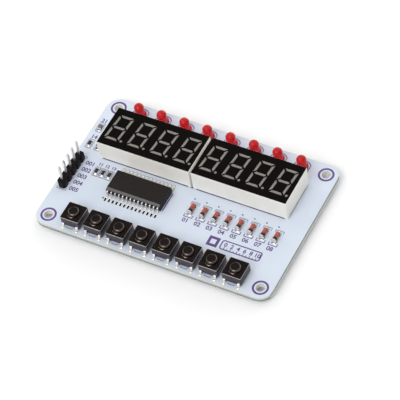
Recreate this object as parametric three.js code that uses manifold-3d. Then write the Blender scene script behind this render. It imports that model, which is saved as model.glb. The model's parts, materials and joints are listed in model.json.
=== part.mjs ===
// A numeric display and keypad board: two four-digit LED displays, eight round LEDs, eight
// push keys and their driver chip on one circuit board, wired through a five-pin header.
//
// Millimetres, +Z up. +X runs along the long side of the board and the keys are at the front,
// towards -Y. The origin is under the middle of the board, on the surface that the trimmed
// lead ends stand on.

import * as THREE from 'three';
import { mergeVertices } from 'three/addons/utils/BufferGeometryUtils.js';
import Module from 'manifold-3d';

const wasm = await Module();
wasm.setup();

// Driving dimensions. The board is as wide and as deep as its rows and the rooms between them.

const board = {
  thickness: 1.6,
  cornerRadius: 4,
  screwHoleRadius: 1.35,
  screwHoleInsetX: 3.8,
  screwHoleInsetY: 3.6,
  tailLength: 1.3,
};

const room = {
  backEdgeToLeds: 3.81,
  ledsToDisplay: 4.54,
  displayToChip: 2.11,
  chipToKeys: 6.37,
  keysToFrontEdge: 0.87,
  leftEdgeToDisplay: 7.7,
  displayToRightEdge: 7,
  screwToRow: 7.3,
  leftEdgeToHeader: 2.6,
  leftEdgeToResistors: 11.45,
  resistorsToChip: 1.7,
  diodesToRightEdge: 7.18,
};

const fit = {
  leadInHole: 0.12,
  slip: 0.05,
  potting: 0.3,
  overrun: 1,
};

const header = {
  pitch: 2.54,
  bodyWidth: 2.5,
  bodyHeight: 2.54,
  bodyChamfer: 0.5,
  pinSide: 0.64,
  pinStand: 6,
  pinTaper: 0.7,
  aheadOfChip: 0.64,
};
const header_tip_share = 0.45;
const header_pin_count = 5;

const display = {
  caseWidth: 30.3,
  caseDepth: 14,
  height: 7.3,
  footHeight: 0.4,
  footLength: 1,
  wall: 0.5,
  faceThickness: 1,
  pairGap: 0.7,
  endRoom: 0.15,
};

const digit = {
  height: 9.14,
  stroke: 0.65,
  gap: 0.6,
  centreInset: 0.25,
  spacing: 2.83,
  dotRadius: 0.37,
  dotRoom: 0.56,
};
const digit_slant_degrees = 5;
const digit_count = 4;

const displayCircuit = {
  thickness: 1,
  recess: 0.3,
  pinSide: 0.5,
  pinPitch: 2.54,
  pinRowInset: 1.92,
};
const display_pins_per_row = 6;

const chip = {
  endRoom: 0.7,
  width: 7.5,
  height: 2.3,
  standOff: 0.15,
  partingHeight: 1.25,
  draft: 0.25,
  edgeBevel: 0.6,
  leadPitch: 1.27,
  leadWidth: 0.42,
  leadThickness: 0.25,
  leadReach: 1.4,
  leadShoulder: 0.35,
  leadFoot: 0.75,
  leadRoot: 0.3,
  dimpleRadius: 0.6,
  dimpleDepth: 0.12,
  dimpleInset: 1.5,
};
const chip_leads_per_side = 14;

const key = {
  pitch: 7.43,
  rowShift: 0.2,
  side: 6,
  bodyHeight: 3.2,
  bodyChamfer: 0.3,
  floorHeight: 0.9,
  domeRadius: 1.9,
  domeHeight: 0.5,
  coverThickness: 0.3,
  coverChamfer: 0.4,
  stemRadius: 1.75,
  stemClearance: 0.2,
  stemStand: 0.9,
  stemEdge: 0.3,
  flangeLip: 0.35,
  flangeThickness: 0.6,
  wellClearance: 0.3,
  plungerRadius: 0.8,
  plungerRest: 0.35,
  studRadius: 0.35,
  studInset: 0.75,
  studStand: 0.1,
  leadInset: 0.75,
  leadWidth: 0.7,
  leadThickness: 0.25,
  leadReach: 1,
  leadShoulder: 0.2,
  leadFoot: 0.5,
  leadRoot: 0.4,
  leadExitHeight: 0.9,
};

const led = {
  pitch: 7.62,
  rowShift: 0.05,
  lensRadius: 1.5,
  flangeLip: 0.4,
  flangeHeight: 1,
  seat: 0.1,
  height: 5.15,
  flatDepth: 0.3,
  leadSide: 0.5,
  leadSpacing: 2.54,
};

const diode = {
  pitch: 3.845,
  behindChip: 0.2,
  length: 3.5,
  capLength: 0.4,
  capRadius: 0.75,
  capEdge: 0.12,
  glassStep: 0.09,
  solderFilm: 0.05,
};

const chipResistor = { length: 2, width: 1.25, height: 0.5, capLength: 0.35, capStep: 0.04 };
const chipCapacitor = { length: 2, width: 1.25, height: 0.85, capLength: 0.45, capStep: 0.05 };

const resistorRow = { pitch: 2.15, behindChip: 2.26 };
const resistor_row_count = 3;

const leftEdgeParts = {
  outerInset: 2.28,
  innerInset: 5.3,
  capacitorBehindDisplay: 3,
  pairAheadOfDisplay: 3.45,
};

// How many pieces stand in each of the three long rows, and how finely round shapes are cut.

const row_count = 8;
const roundSides = {
  corner: 6,
  screwHole: 20,
  leadHole: 6,
  dot: 8,
  dimple: 10,
  keyWell: 12,
  keyStem: 12,
  stud: 6,
  lens: 12,
  lensDome: 3,
  diode: 8,
  square: 4,
};

// Heights worked out from the sizes above. A part on the board is drawn with zero on the
// board's upper face.

const boardTop = board.tailLength + board.thickness;
const tailEnd = -boardTop;

// Sizes of the parts that follow from their pins, leads or figures

const chipLength = (chip_leads_per_side - 1) * chip.leadPitch + 2 * chip.endRoom;
const chipDepth = chip.width + 2 * chip.leadReach;
const keyDepth = key.side + 2 * key.leadReach;
const ledFlangeRadius = led.lensRadius + led.flangeLip;
const digitPitch = (display.caseWidth - 2 * display.endRoom) / digit_count;
const digitWidth = digitPitch - digit.spacing;
const displayPitch = display.caseWidth + display.pairGap;
const displayPinRows = display.caseDepth - 2 * displayCircuit.pinRowInset;

// The board's outline

const displayRowWidth = displayPitch + display.caseWidth;
const keyRowWidth = (row_count - 1) * key.pitch + 2 * Math.abs(key.rowShift);
const ledRowWidth = (row_count - 1) * led.pitch + 2 * Math.abs(led.rowShift);
const besideRow = 2 * (room.screwToRow + board.screwHoleInsetX);
const boardWidth = Math.max(
  room.leftEdgeToDisplay + displayRowWidth + room.displayToRightEdge,
  keyRowWidth + besideRow,
  ledRowWidth + besideRow,
);
const boardDepth = room.backEdgeToLeds + room.ledsToDisplay + display.caseDepth
  + room.displayToChip + chipDepth + room.chipToKeys + keyDepth + room.keysToFrontEdge;

// Where the parts stand, from the edges inwards

const leftEdge = -boardWidth / 2;
const rightEdge = boardWidth / 2;
const ledRowY = boardDepth / 2 - room.backEdgeToLeds;
const displayY = ledRowY - room.ledsToDisplay - display.caseDepth / 2;
const displayPairX = (room.leftEdgeToDisplay - room.displayToRightEdge) / 2;
const chipY = displayY - display.caseDepth / 2 - room.displayToChip - chipDepth / 2;
const keyRowY = room.keysToFrontEdge + keyDepth / 2 - boardDepth / 2;
const resistorRowX = leftEdge + room.leftEdgeToResistors;
const resistorRowEnd = resistorRowX
  + ((resistor_row_count - 1) * resistorRow.pitch + chipResistor.width) / 2;
const chipX = resistorRowEnd + room.resistorsToChip + chipLength / 2;
const diodeRowX = rightEdge - room.diodesToRightEdge - ((row_count - 1) * diode.pitch) / 2;

// Finishes

function finish(color, roughness, metalness, opacity = 1) {
  return new THREE.MeshStandardMaterial({
    color,
    roughness,
    metalness,
    opacity,
    transparent: opacity < 1,
    flatShading: true,
  });
}

const finishes = {
  solderMask: finish(0xd5deea, 0.35, 0),
  headerPlastic: finish(0x15130f, 0.45, 0),
  tinnedPin: finish(0xc9c4b8, 0.3, 1),
  caseWhite: finish(0xe2dfd4, 0.5, 0),
  segmentEpoxy: finish(0x9a938c, 0.45, 0),
  displayCircuit: finish(0xd8d2bd, 0.5, 0),
  chipBody: finish(0x1b1815, 0.4, 0),
  keyBody: finish(0x2a2627, 0.45, 0),
  keyCover: finish(0x1d1816, 0.3, 0.4),
  keyButton: finish(0x100e0c, 0.2, 0),
  ledRed: finish(0xc8101c, 0.12, 0, 0.85),
  diodeGlass: finish(0xb5562c, 0.12, 0, 0.9),
  resistorBody: finish(0x1a1a1c, 0.35, 0),
  capacitorBody: finish(0x857c6e, 0.5, 0),
};

// Solids

function solid(geometry) {
  const bare = geometry.clone();
  bare.deleteAttribute('normal');
  bare.deleteAttribute('uv');
  const merged = mergeVertices(bare);
  const corners = merged.index.array;
  const triangles = [];
  for (let i = 0; i < corners.length; i += 3) {
    const [a, b, c] = [corners[i], corners[i + 1], corners[i + 2]];
    if (a !== b && b !== c && c !== a) {
      triangles.push(a, b, c);
    }
  }
  return new wasm.Manifold(new wasm.Mesh({
    numProp: 3,
    vertProperties: new Float32Array(merged.attributes.position.array),
    triVerts: new Uint32Array(triangles),
  }));
}

function geometryOf(manifold) {
  const mesh = manifold.getMesh();
  const geometry = new THREE.BufferGeometry();
  geometry.setAttribute('position', new THREE.BufferAttribute(mesh.vertProperties, mesh.numProp));
  geometry.setIndex(new THREE.BufferAttribute(mesh.triVerts, 1));
  geometry.computeVertexNormals();
  return geometry;
}

function joined(pieces) {
  return pieces.reduce((whole, piece) => whole.add(piece));
}

function cutAway(body, tools) {
  return tools.length === 0 ? body : body.subtract(joined(tools));
}

function block(low, high) {
  const size = high.map((value, axis) => value - low[axis]);
  const middle = high.map((value, axis) => (value + low[axis]) / 2);
  return solid(new THREE.BoxGeometry(...size).translate(...middle));
}

// An upright prism over an outline, with any holes as further outlines.
function prism(outline, bottom, top, holes = []) {
  const shape = new THREE.Shape(outline);
  shape.holes = holes.map((points) => new THREE.Path(points));
  const geometry = new THREE.ExtrudeGeometry(shape, { depth: top - bottom, bevelEnabled: false });
  return solid(geometry.translate(0, 0, bottom));
}

// A turned solid. The profile runs upwards as pairs of radius and height.
function turned(profile, sides) {
  const points = profile.map(([radius, height]) => new THREE.Vector2(radius, height));
  return solid(new THREE.LatheGeometry(points, sides).rotateX(Math.PI / 2));
}

function ring(radius, sides, x = 0, y = 0) {
  const points = [];
  for (let i = 0; i < sides; i += 1) {
    const angle = (2 * Math.PI * i) / sides;
    points.push(new THREE.Vector2(x + radius * Math.cos(angle), y + radius * Math.sin(angle)));
  }
  return points;
}

// A rectangle round the origin with its corners rounded.
function roundedOutline(width, depth, radius, steps) {
  const points = [];
  for (let quarter = 0; quarter < 4; quarter += 1) {
    const middle = ((quarter + 0.5) * Math.PI) / 2;
    const x = (width / 2 - radius) * Math.sign(Math.cos(middle));
    const y = (depth / 2 - radius) * Math.sign(Math.sin(middle));
    for (let i = 0; i <= steps; i += 1) {
      const angle = ((quarter + i / steps) * Math.PI) / 2;
      points.push(new THREE.Vector2(x + radius * Math.cos(angle), y + radius * Math.sin(angle)));
    }
  }
  return points;
}

function chamferedOutline(width, depth, chamfer) {
  return roundedOutline(width, depth, chamfer, 1);
}

// Evenly spaced places, centred on zero.
function spread(count, pitch) {
  return Array.from({ length: count }, (unused, i) => (i - (count - 1) / 2) * pitch);
}

function named(name, manifold, material) {
  const mesh = new THREE.Mesh(geometryOf(manifold), material);
  mesh.name = name;
  return mesh;
}

function groupAt(x, y, meshes) {
  const group = new THREE.Group();
  group.position.set(x, y, boardTop);
  group.add(...meshes);
  return group;
}

// Where every lead goes through the board. The same lists drill the holes and place the leads.

const headerPinPlaces = spread(header_pin_count, header.pitch).map((y) => [0, y]);
const displayPinPlaces = spread(display_pins_per_row, displayCircuit.pinPitch).flatMap((x) => [
  [x, -displayPinRows / 2],
  [x, displayPinRows / 2],
]);
const ledLeadPlaces = [[-led.leadSpacing / 2, 0], [led.leadSpacing / 2, 0]];

const headerPlace = [leftEdge + room.leftEdgeToHeader, chipY - header.aheadOfChip];
const displayPlaces = spread(2, displayPitch).map((x) => [displayPairX + x, displayY]);
const ledPlaces = spread(row_count, led.pitch).map((x) => [led.rowShift + x, ledRowY]);
const keyPlaces = spread(row_count, key.pitch).map((x) => [key.rowShift + x, keyRowY]);
const diodePlaces = spread(row_count, diode.pitch)
  .map((x) => [diodeRowX + x, chipY + diode.behindChip]);

// Circuit board

function leadHoles(place, leads, side) {
  const radius = side / Math.SQRT2 + fit.leadInHole;
  return leads.map(([x, y]) => ring(radius, roundSides.leadHole, place[0] + x, place[1] + y));
}

function circuitBoard() {
  const screwX = boardWidth / 2 - board.screwHoleInsetX;
  const screwY = boardDepth / 2 - board.screwHoleInsetY;
  const holes = [[-1, -1], [1, -1], [1, 1], [-1, 1]].map(([sideX, sideY]) => (
    ring(board.screwHoleRadius, roundSides.screwHole, sideX * screwX, sideY * screwY)
  ));
  holes.push(...leadHoles(headerPlace, headerPinPlaces, header.pinSide));
  displayPlaces.forEach((place) => {
    holes.push(...leadHoles(place, displayPinPlaces, displayCircuit.pinSide));
  });
  ledPlaces.forEach((place) => {
    holes.push(...leadHoles(place, ledLeadPlaces, led.leadSide));
  });
  const outline = roundedOutline(boardWidth, boardDepth, board.cornerRadius, roundSides.corner);
  const panel = prism(outline, -board.thickness, 0, holes);
  return groupAt(0, 0, [named('circuit_board', panel, finishes.solderMask)]);
}

// Pin header: one insulator made of chamfered units, and loose square pins.

function insulatorOutline() {
  const half = header.bodyWidth / 2;
  const chamfer = header.bodyChamfer;
  const right = [];
  spread(header_pin_count, header.pitch).forEach((y) => {
    const low = y - header.pitch / 2;
    const high = y + header.pitch / 2;
    right.push([half - chamfer, low], [half, low + chamfer], [half, high - chamfer]);
  });
  const end = (header_pin_count * header.pitch) / 2;
  right.push([half - chamfer, end]);
  const left = right.map(([x, y]) => [-x, -y]);
  return [...right, ...left]
    .filter(([x, y], i, all) => {
      const [lastX, lastY] = all[(i + all.length - 1) % all.length];
      return x !== lastX || y !== lastY;
    })
    .map(([x, y]) => new THREE.Vector2(x, y));
}

function squareOutline(side, x, y) {
  const half = side / 2;
  return [[-1, -1], [1, -1], [1, 1], [-1, 1]].map(([sideX, sideY]) => (
    new THREE.Vector2(x + sideX * half, y + sideY * half)
  ));
}

function squarePin(side, bottom, top, taper, tipShare) {
  const radius = side / Math.SQRT2;
  const tip = radius * tipShare;
  const profile = [[0, bottom], [tip, bottom], [radius, bottom + taper]];
  profile.push([radius, top - taper], [tip, top], [0, top]);
  return turned(profile, roundSides.square).rotate([0, 0, 45]);
}

function pinHeader() {
  const openings = headerPinPlaces.map(([x, y]) => squareOutline(header.pinSide + 2 * fit.slip, x, y));
  const insulator = prism(insulatorOutline(), 0, header.bodyHeight, openings);
  const meshes = [named('header_insulator', insulator, finishes.headerPlastic)];
  const top = header.bodyHeight + header.pinStand;
  headerPinPlaces.forEach(([x, y], i) => {
    const pin = squarePin(header.pinSide, tailEnd, top, header.pinTaper, header_tip_share);
    meshes.push(named(`header_pin_${i + 1}`, pin.translate([x, y, 0]), finishes.tinnedPin));
  });
  return groupAt(...headerPlace, meshes);
}

// Numeric displays: a white case with slanted windows, the epoxy that fills it and shows
// through them, and the small circuit with its two rows of pins.

function slanted(x, y) {
  return new THREE.Vector2(x + y * Math.tan((digit_slant_degrees * Math.PI) / 180), y);
}

// One bar along a line between two joints of the figure, kept back from each joint. Its outer
// side, on the side given, is longer than its inner side, which mitres it at both ends.
function barOutline(start, end, side, backs, grow) {
  const length = Math.hypot(end[0] - start[0], end[1] - start[1]);
  const along = [(end[0] - start[0]) / length, (end[1] - start[1]) / length];
  const across = [-along[1] * side, along[0] * side];
  const half = digit.stroke / 2 + grow;
  const [first, last] = backs.map((back) => back - grow * Math.SQRT2);
  const points = [
    [first - half, half],
    [first + half, -half],
    [length - last - half, -half],
    [length - last + half, half],
  ].map(([distance, offset]) => slanted(
    start[0] + along[0] * distance + across[0] * offset,
    start[1] + along[1] * distance + across[1] * offset,
  ));
  return side > 0 ? points : points.reverse();
}

// The centre bar, pointed at both ends.
function centreBarOutline(halfLength, grow) {
  const half = digit.stroke / 2 + grow;
  const tip = halfLength - digit.centreInset + grow * Math.SQRT2;
  return [
    [-tip, 0],
    [half - tip, -half],
    [tip - half, -half],
    [tip, 0],
    [tip - half, half],
    [half - tip, half],
  ].map(([x, y]) => slanted(x, y));
}

// The seven bars of a figure and its point. Neighbouring bars stand the same gap apart.
function figureOutlines(centreX, grow) {
  const x = (digitWidth - digit.stroke) / 2;
  const y = (digit.height - digit.stroke) / 2;
  const corner = digit.gap / Math.SQRT2;
  const centre = digit.gap * Math.SQRT2 - digit.centreInset;
  const bars = [
    barOutline([-x, y], [x, y], 1, [corner, corner], grow),
    barOutline([-x, -y], [x, -y], -1, [corner, corner], grow),
    centreBarOutline(x, grow),
    barOutline([-x, -y], [-x, 0], 1, [corner, centre], grow),
    barOutline([-x, 0], [-x, y], 1, [centre, corner], grow),
    barOutline([x, -y], [x, 0], -1, [corner, centre], grow),
    barOutline([x, 0], [x, y], -1, [centre, corner], grow),
  ];
  const dot = slanted(digitPitch / 2 - digit.dotRoom, -y);
  bars.push(ring(digit.dotRadius + grow, roundSides.dot, dot.x, dot.y));
  return bars.map((points) => points.map((point) => new THREE.Vector2(point.x + centreX, point.y)));
}

function faceOutlines(grow) {
  return spread(digit_count, digitPitch).flatMap((x) => figureOutlines(x, grow));
}

function displayCase() {
  const halfWidth = display.caseWidth / 2;
  const halfDepth = display.caseDepth / 2;
  const ceiling = display.height - display.faceThickness;
  const shell = block([-halfWidth, -halfDepth, 0], [halfWidth, halfDepth, display.height]);
  const cavity = block(
    [display.wall - halfWidth, display.wall - halfDepth, -fit.overrun],
    [halfWidth - display.wall, halfDepth - display.wall, ceiling],
  );
  const underFront = block(
    [display.footLength - halfWidth, -halfDepth - fit.overrun, -fit.overrun],
    [halfWidth - display.footLength, halfDepth + fit.overrun, display.footHeight],
  );
  const underSide = block(
    [-halfWidth - fit.overrun, display.footLength - halfDepth, -fit.overrun],
    [halfWidth + fit.overrun, halfDepth - display.footLength, display.footHeight],
  );
  const top = display.height + fit.overrun;
  const below = ceiling - display.faceThickness;
  const windows = faceOutlines(fit.slip).map((outline) => prism(outline, below, top));
  return cutAway(shell, [cavity, underFront, underSide, ...windows]);
}

function circuitBottom() {
  return display.footHeight + displayCircuit.recess;
}

function lightPipes() {
  const halfWidth = display.caseWidth / 2 - display.wall - fit.slip;
  const halfDepth = display.caseDepth / 2 - display.wall - fit.slip;
  const ceiling = display.height - display.faceThickness;
  const floor = circuitBottom() + displayCircuit.thickness;
  const filling = block([-halfWidth, -halfDepth, floor], [halfWidth, halfDepth, ceiling]);
  const root = ceiling - display.faceThickness / 2;
  const lugs = faceOutlines(0).map((outline) => prism(outline, root, display.height));
  return joined([filling, ...lugs]);
}

function displayCircuitBoard() {
  const halfWidth = display.caseWidth / 2 - display.wall - fit.potting;
  const halfDepth = display.caseDepth / 2 - display.wall - fit.potting;
  const bottom = circuitBottom();
  const middle = bottom + displayCircuit.thickness / 2;
  const panel = block(
    [-halfWidth, -halfDepth, bottom],
    [halfWidth, halfDepth, bottom + displayCircuit.thickness],
  );
  const half = displayCircuit.pinSide / 2;
  const pins = displayPinPlaces.map(([x, y]) => (
    block([x - half, y - half, tailEnd], [x + half, y + half, middle])
  ));
  return joined([panel, ...pins]);
}

function displayAt(place, side) {
  return groupAt(...place, [
    named(`display_${side}_case`, displayCase(), finishes.caseWhite),
    named(`display_${side}_light_pipes`, lightPipes(), finishes.segmentEpoxy),
    named(`display_${side}_circuit`, displayCircuitBoard(), finishes.displayCircuit),
  ]);
}

// A bent lead seen from its side: out of the body, down, and along the board.
function bentLead(lead, exitHeight) {
  const inner = lead.leadThickness;
  const footStart = lead.leadReach - lead.leadFoot;
  const upper = exitHeight + inner / 2;
  const lower = exitHeight - inner / 2;
  const side = [
    [-lead.leadRoot, lower],
    [lead.leadShoulder - inner / 2, lower],
    [footStart - inner / 2, 0],
    [lead.leadReach, 0],
    [lead.leadReach, inner],
    [footStart + inner / 2, inner],
    [lead.leadShoulder + inner / 2, upper],
    [-lead.leadRoot, upper],
  ].map(([out, height]) => new THREE.Vector2(out, height));
  const shape = new THREE.Shape(side);
  const geometry = new THREE.ExtrudeGeometry(shape, { depth: lead.leadWidth, bevelEnabled: false });
  geometry.translate(0, 0, -lead.leadWidth / 2).rotateX(Math.PI / 2);
  return solid(geometry);
}

function leadsBothSides(lead, places, halfBody, exitHeight) {
  const outwards = bentLead(lead, exitHeight).rotate([0, 0, 90]).translate([0, halfBody, 0]);
  const back = places.map((x) => outwards.translate([x, 0, 0]));
  return [...back, ...back.map((piece) => piece.rotate([0, 0, 180]))];
}

// Driver chip: a drafted body with a bevelled front edge, a pin 1 mark and two rows of leads.

function taperedSlab(bottomInset, topInset, bottom, top) {
  const corner = (inset, height) => [[-1, -1], [1, -1], [1, 1], [-1, 1]].map(([sideX, sideY]) => (
    [sideX * (chipLength / 2 - inset), sideY * (chip.width / 2 - inset), height]
  ));
  const points = [...corner(bottomInset, bottom), ...corner(topInset, top)];
  const triangles = [0, 2, 1, 0, 3, 2, 4, 5, 6, 4, 6, 7];
  for (let i = 0; i < 4; i += 1) {
    const next = (i + 1) % 4;
    triangles.push(i, next, next + 4, i, next + 4, i + 4);
  }
  return new wasm.Manifold(new wasm.Mesh({
    numProp: 3,
    vertProperties: new Float32Array(points.flat()),
    triVerts: new Uint32Array(triangles),
  }));
}

function driverChip() {
  const bottom = chip.standOff;
  const parting = bottom + chip.partingHeight;
  const top = bottom + chip.height;
  const lower = taperedSlab(chip.draft, 0, bottom, parting);
  const upper = taperedSlab(0, chip.draft, parting, top);
  const bevelEdge = chip.draft - chip.width / 2;
  const bevelSize = chip.edgeBevel * Math.SQRT2;
  const bevel = solid(new THREE.BoxGeometry(chipLength + fit.overrun, bevelSize, bevelSize))
    .rotate([45, 0, 0])
    .translate([0, bevelEdge, top]);
  const half = chipLength / 2 - chip.dimpleInset;
  const mark = prism(
    ring(chip.dimpleRadius, roundSides.dimple, -half, chip.dimpleInset - chip.width / 2),
    top - chip.dimpleDepth,
    top + fit.overrun,
  );
  const body = cutAway(joined([lower, upper]), [bevel, mark]);
  const places = spread(chip_leads_per_side, chip.leadPitch);
  const leads = leadsBothSides(chip, places, chip.width / 2, parting);
  const whole = joined([body, ...leads]);
  return groupAt(chipX, chipY, [named('driver_chip', whole, finishes.chipBody)]);
}

// Push keys: a moulded base with its leads and snap dome, a cover plate held by four studs,
// and the button that travels through it.

const keyWellRadius = key.stemRadius + key.flangeLip + key.wellClearance;
const studPlaces = [[-1, -1], [1, -1], [1, 1], [-1, 1]].map(([sideX, sideY]) => (
  [sideX * (key.side / 2 - key.studInset), sideY * (key.side / 2 - key.studInset)]
));

function keyBase() {
  const body = prism(chamferedOutline(key.side, key.side, key.bodyChamfer), 0, key.bodyHeight);
  const well = prism(
    ring(keyWellRadius, roundSides.keyWell),
    key.floorHeight,
    key.bodyHeight + fit.overrun,
  );
  const middleHeight = key.floorHeight / 2;
  const domeTop = key.floorHeight + key.domeHeight;
  const shoulder = key.floorHeight + key.domeHeight * Math.SQRT1_2;
  const dome = turned([
    [0, middleHeight],
    [key.domeRadius, middleHeight],
    [key.domeRadius, key.floorHeight],
    [key.domeRadius * Math.SQRT1_2, shoulder],
    [0, domeTop],
  ], roundSides.keyWell);
  const studTop = key.bodyHeight + key.coverThickness + key.studStand;
  const studs = studPlaces.map(([x, y]) => (
    prism(ring(key.studRadius, roundSides.stud, x, y), middleHeight, studTop)
  ));
  const places = spread(2, key.side - 2 * key.leadInset);
  const leads = leadsBothSides(key, places, key.side / 2, key.leadExitHeight);
  return joined([cutAway(body, [well]), dome, ...studs, ...leads]);
}

function keyCover() {
  const holes = [ring(key.stemRadius + key.stemClearance, roundSides.keyStem)];
  studPlaces.forEach(([x, y]) => {
    holes.push(ring(key.studRadius + fit.slip, roundSides.stud, x, y));
  });
  const outline = chamferedOutline(key.side, key.side, key.coverChamfer);
  return prism(outline, key.bodyHeight, key.bodyHeight + key.coverThickness, holes);
}

function keyButton() {
  const foot = key.floorHeight + key.domeHeight + key.plungerRest;
  const flangeTop = key.bodyHeight - fit.slip;
  const flangeBottom = flangeTop - key.flangeThickness;
  const flangeRadius = key.stemRadius + key.flangeLip;
  const top = key.bodyHeight + key.coverThickness + key.stemStand;
  return turned([
    [0, foot],
    [key.plungerRadius, foot],
    [key.plungerRadius, flangeBottom],
    [flangeRadius, flangeBottom],
    [flangeRadius, flangeTop],
    [key.stemRadius, flangeTop],
    [key.stemRadius, top - key.stemEdge],
    [key.stemRadius - key.stemEdge, top],
    [0, top],
  ], roundSides.keyStem);
}

function keyAt(place, number) {
  return groupAt(...place, [
    named(`key_${number}_base`, keyBase(), finishes.keyBody),
    named(`key_${number}_cover`, keyCover(), finishes.keyCover),
    named(`key_${number}_button`, keyButton(), finishes.keyButton),
  ]);
}

// Round LEDs: a domed lens with its flange and flat, and two leads.

function roundLed() {
  const flangeTop = led.seat + led.flangeHeight;
  const domeStart = led.height - led.lensRadius;
  const profile = [[0, led.seat], [ledFlangeRadius, led.seat], [ledFlangeRadius, flangeTop]];
  profile.push([led.lensRadius, flangeTop]);
  for (let i = 0; i <= roundSides.lensDome; i += 1) {
    const angle = (Math.PI * i) / (2 * roundSides.lensDome);
    const radius = i === roundSides.lensDome ? 0 : led.lensRadius * Math.cos(angle);
    profile.push([radius, domeStart + led.lensRadius * Math.sin(angle)]);
  }
  const lens = turned(profile, roundSides.lens);
  const flatX = ledFlangeRadius - led.flatDepth;
  const flat = block(
    [flatX, -ledFlangeRadius, 0],
    [ledFlangeRadius + fit.overrun, ledFlangeRadius, flangeTop],
  );
  const half = led.leadSide / 2;
  const leads = ledLeadPlaces.map(([x, y]) => (
    block([x - half, y - half, tailEnd], [x + half, y + half, led.seat + led.flangeHeight / 2])
  ));
  return joined([cutAway(lens, [flat]), ...leads]);
}

// Glass diodes, lying along Y with a metal cap at each end.

function glassDiode() {
  const half = diode.length / 2;
  const inner = half - diode.capLength;
  const glassRadius = diode.capRadius - diode.glassStep;
  const barrel = turned([
    [0, -half],
    [diode.capRadius - diode.capEdge, -half],
    [diode.capRadius, diode.capEdge - half],
    [diode.capRadius, -inner],
    [glassRadius, -inner],
    [glassRadius, inner],
    [diode.capRadius, inner],
    [diode.capRadius, half - diode.capEdge],
    [diode.capRadius - diode.capEdge, half],
    [0, half],
  ], roundSides.diode);
  return barrel.rotate([90, 0, 0]).translate([0, 0, diode.capRadius + diode.solderFilm]);
}

// Chip resistors and capacitors, with a metal cap wrapped round each end.

function chipPart(part) {
  const half = part.length / 2;
  const inner = half - part.capLength;
  const body = block(
    [part.capStep - part.width / 2, -inner, part.capStep],
    [part.width / 2 - part.capStep, inner, part.height - part.capStep],
  );
  const front = block([-part.width / 2, -half, 0], [part.width / 2, -inner, part.height]);
  const back = block([-part.width / 2, inner, 0], [part.width / 2, half, part.height]);
  return joined([body, front, back]);
}

const outerX = leftEdge + leftEdgeParts.outerInset;
const innerX = leftEdge + leftEdgeParts.innerInset;
const pairY = displayY - leftEdgeParts.pairAheadOfDisplay;
const resistorPlaces = spread(resistor_row_count, resistorRow.pitch)
  .map((x) => [resistorRowX + x, chipY + resistorRow.behindChip]);
resistorPlaces.push([outerX, pairY]);

const capacitorPlaces = [
  [outerX, displayY + leftEdgeParts.capacitorBehindDisplay],
  [innerX, pairY],
];

// The whole board

const model = new THREE.Group();
model.add(circuitBoard());
model.add(pinHeader());
displayPlaces.forEach((place, i) => model.add(displayAt(place, ['left', 'right'][i])));
model.add(driverChip());
keyPlaces.forEach((place, i) => model.add(keyAt(place, i + 1)));
ledPlaces.forEach((place, i) => {
  model.add(groupAt(...place, [named(`led_${i + 1}`, roundLed(), finishes.ledRed)]));
});
diodePlaces.forEach((place, i) => {
  model.add(groupAt(...place, [named(`diode_${i + 1}`, glassDiode(), finishes.diodeGlass)]));
});
resistorPlaces.forEach((place, i) => {
  const piece = named(`resistor_${i + 1}`, chipPart(chipResistor), finishes.resistorBody);
  model.add(groupAt(...place, [piece]));
});
capacitorPlaces.forEach((place, i) => {
  const piece = named(`capacitor_${i + 1}`, chipPart(chipCapacitor), finishes.capacitorBody);
  model.add(groupAt(...place, [piece]));
});

export default model;
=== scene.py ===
"""Dresses a numeric display and keypad board for its renders.

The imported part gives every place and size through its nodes, so each piece here is built round
the node that it stands for. Lengths are in millimetres until a piece is finished, when its mesh
is scaled to metres. +X runs along the long side of the board and the keys are towards -Y.
"""

import json
import logging
import math
from dataclasses import dataclass, field
from enum import Enum
from typing import Callable, Optional, Sequence

import bmesh
import bpy
from mathutils import Matrix, Vector

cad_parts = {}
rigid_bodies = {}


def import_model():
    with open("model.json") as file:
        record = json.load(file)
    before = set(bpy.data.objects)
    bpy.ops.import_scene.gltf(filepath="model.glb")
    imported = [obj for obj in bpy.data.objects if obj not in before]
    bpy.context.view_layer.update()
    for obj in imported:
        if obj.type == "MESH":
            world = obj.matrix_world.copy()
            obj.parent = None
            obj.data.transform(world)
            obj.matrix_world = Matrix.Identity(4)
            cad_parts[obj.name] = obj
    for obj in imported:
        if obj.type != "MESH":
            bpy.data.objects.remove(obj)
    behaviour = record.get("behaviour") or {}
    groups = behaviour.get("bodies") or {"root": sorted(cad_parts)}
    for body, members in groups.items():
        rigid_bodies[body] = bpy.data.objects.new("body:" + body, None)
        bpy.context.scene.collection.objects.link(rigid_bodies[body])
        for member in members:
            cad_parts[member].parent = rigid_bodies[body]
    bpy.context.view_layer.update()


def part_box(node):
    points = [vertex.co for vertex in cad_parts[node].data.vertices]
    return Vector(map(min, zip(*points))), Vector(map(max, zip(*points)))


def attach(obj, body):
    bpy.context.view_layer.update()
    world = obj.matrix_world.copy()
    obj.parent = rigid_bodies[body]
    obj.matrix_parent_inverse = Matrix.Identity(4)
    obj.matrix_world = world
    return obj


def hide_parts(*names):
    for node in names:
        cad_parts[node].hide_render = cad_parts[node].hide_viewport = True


LOG = logging.getLogger("display_board")

MM = 0.001
BOARD_BODY = "board"
ROW_COUNT = 8
SMOOTH_BELOW = 35.0

# How close points are merged, and how close they count as level, in millimetres
MERGE = 0.0005
LEVEL = 0.01

Loop = list[tuple[float, float]]
Colour = tuple[float, float, float]


# Measures taken from the frame


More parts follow.
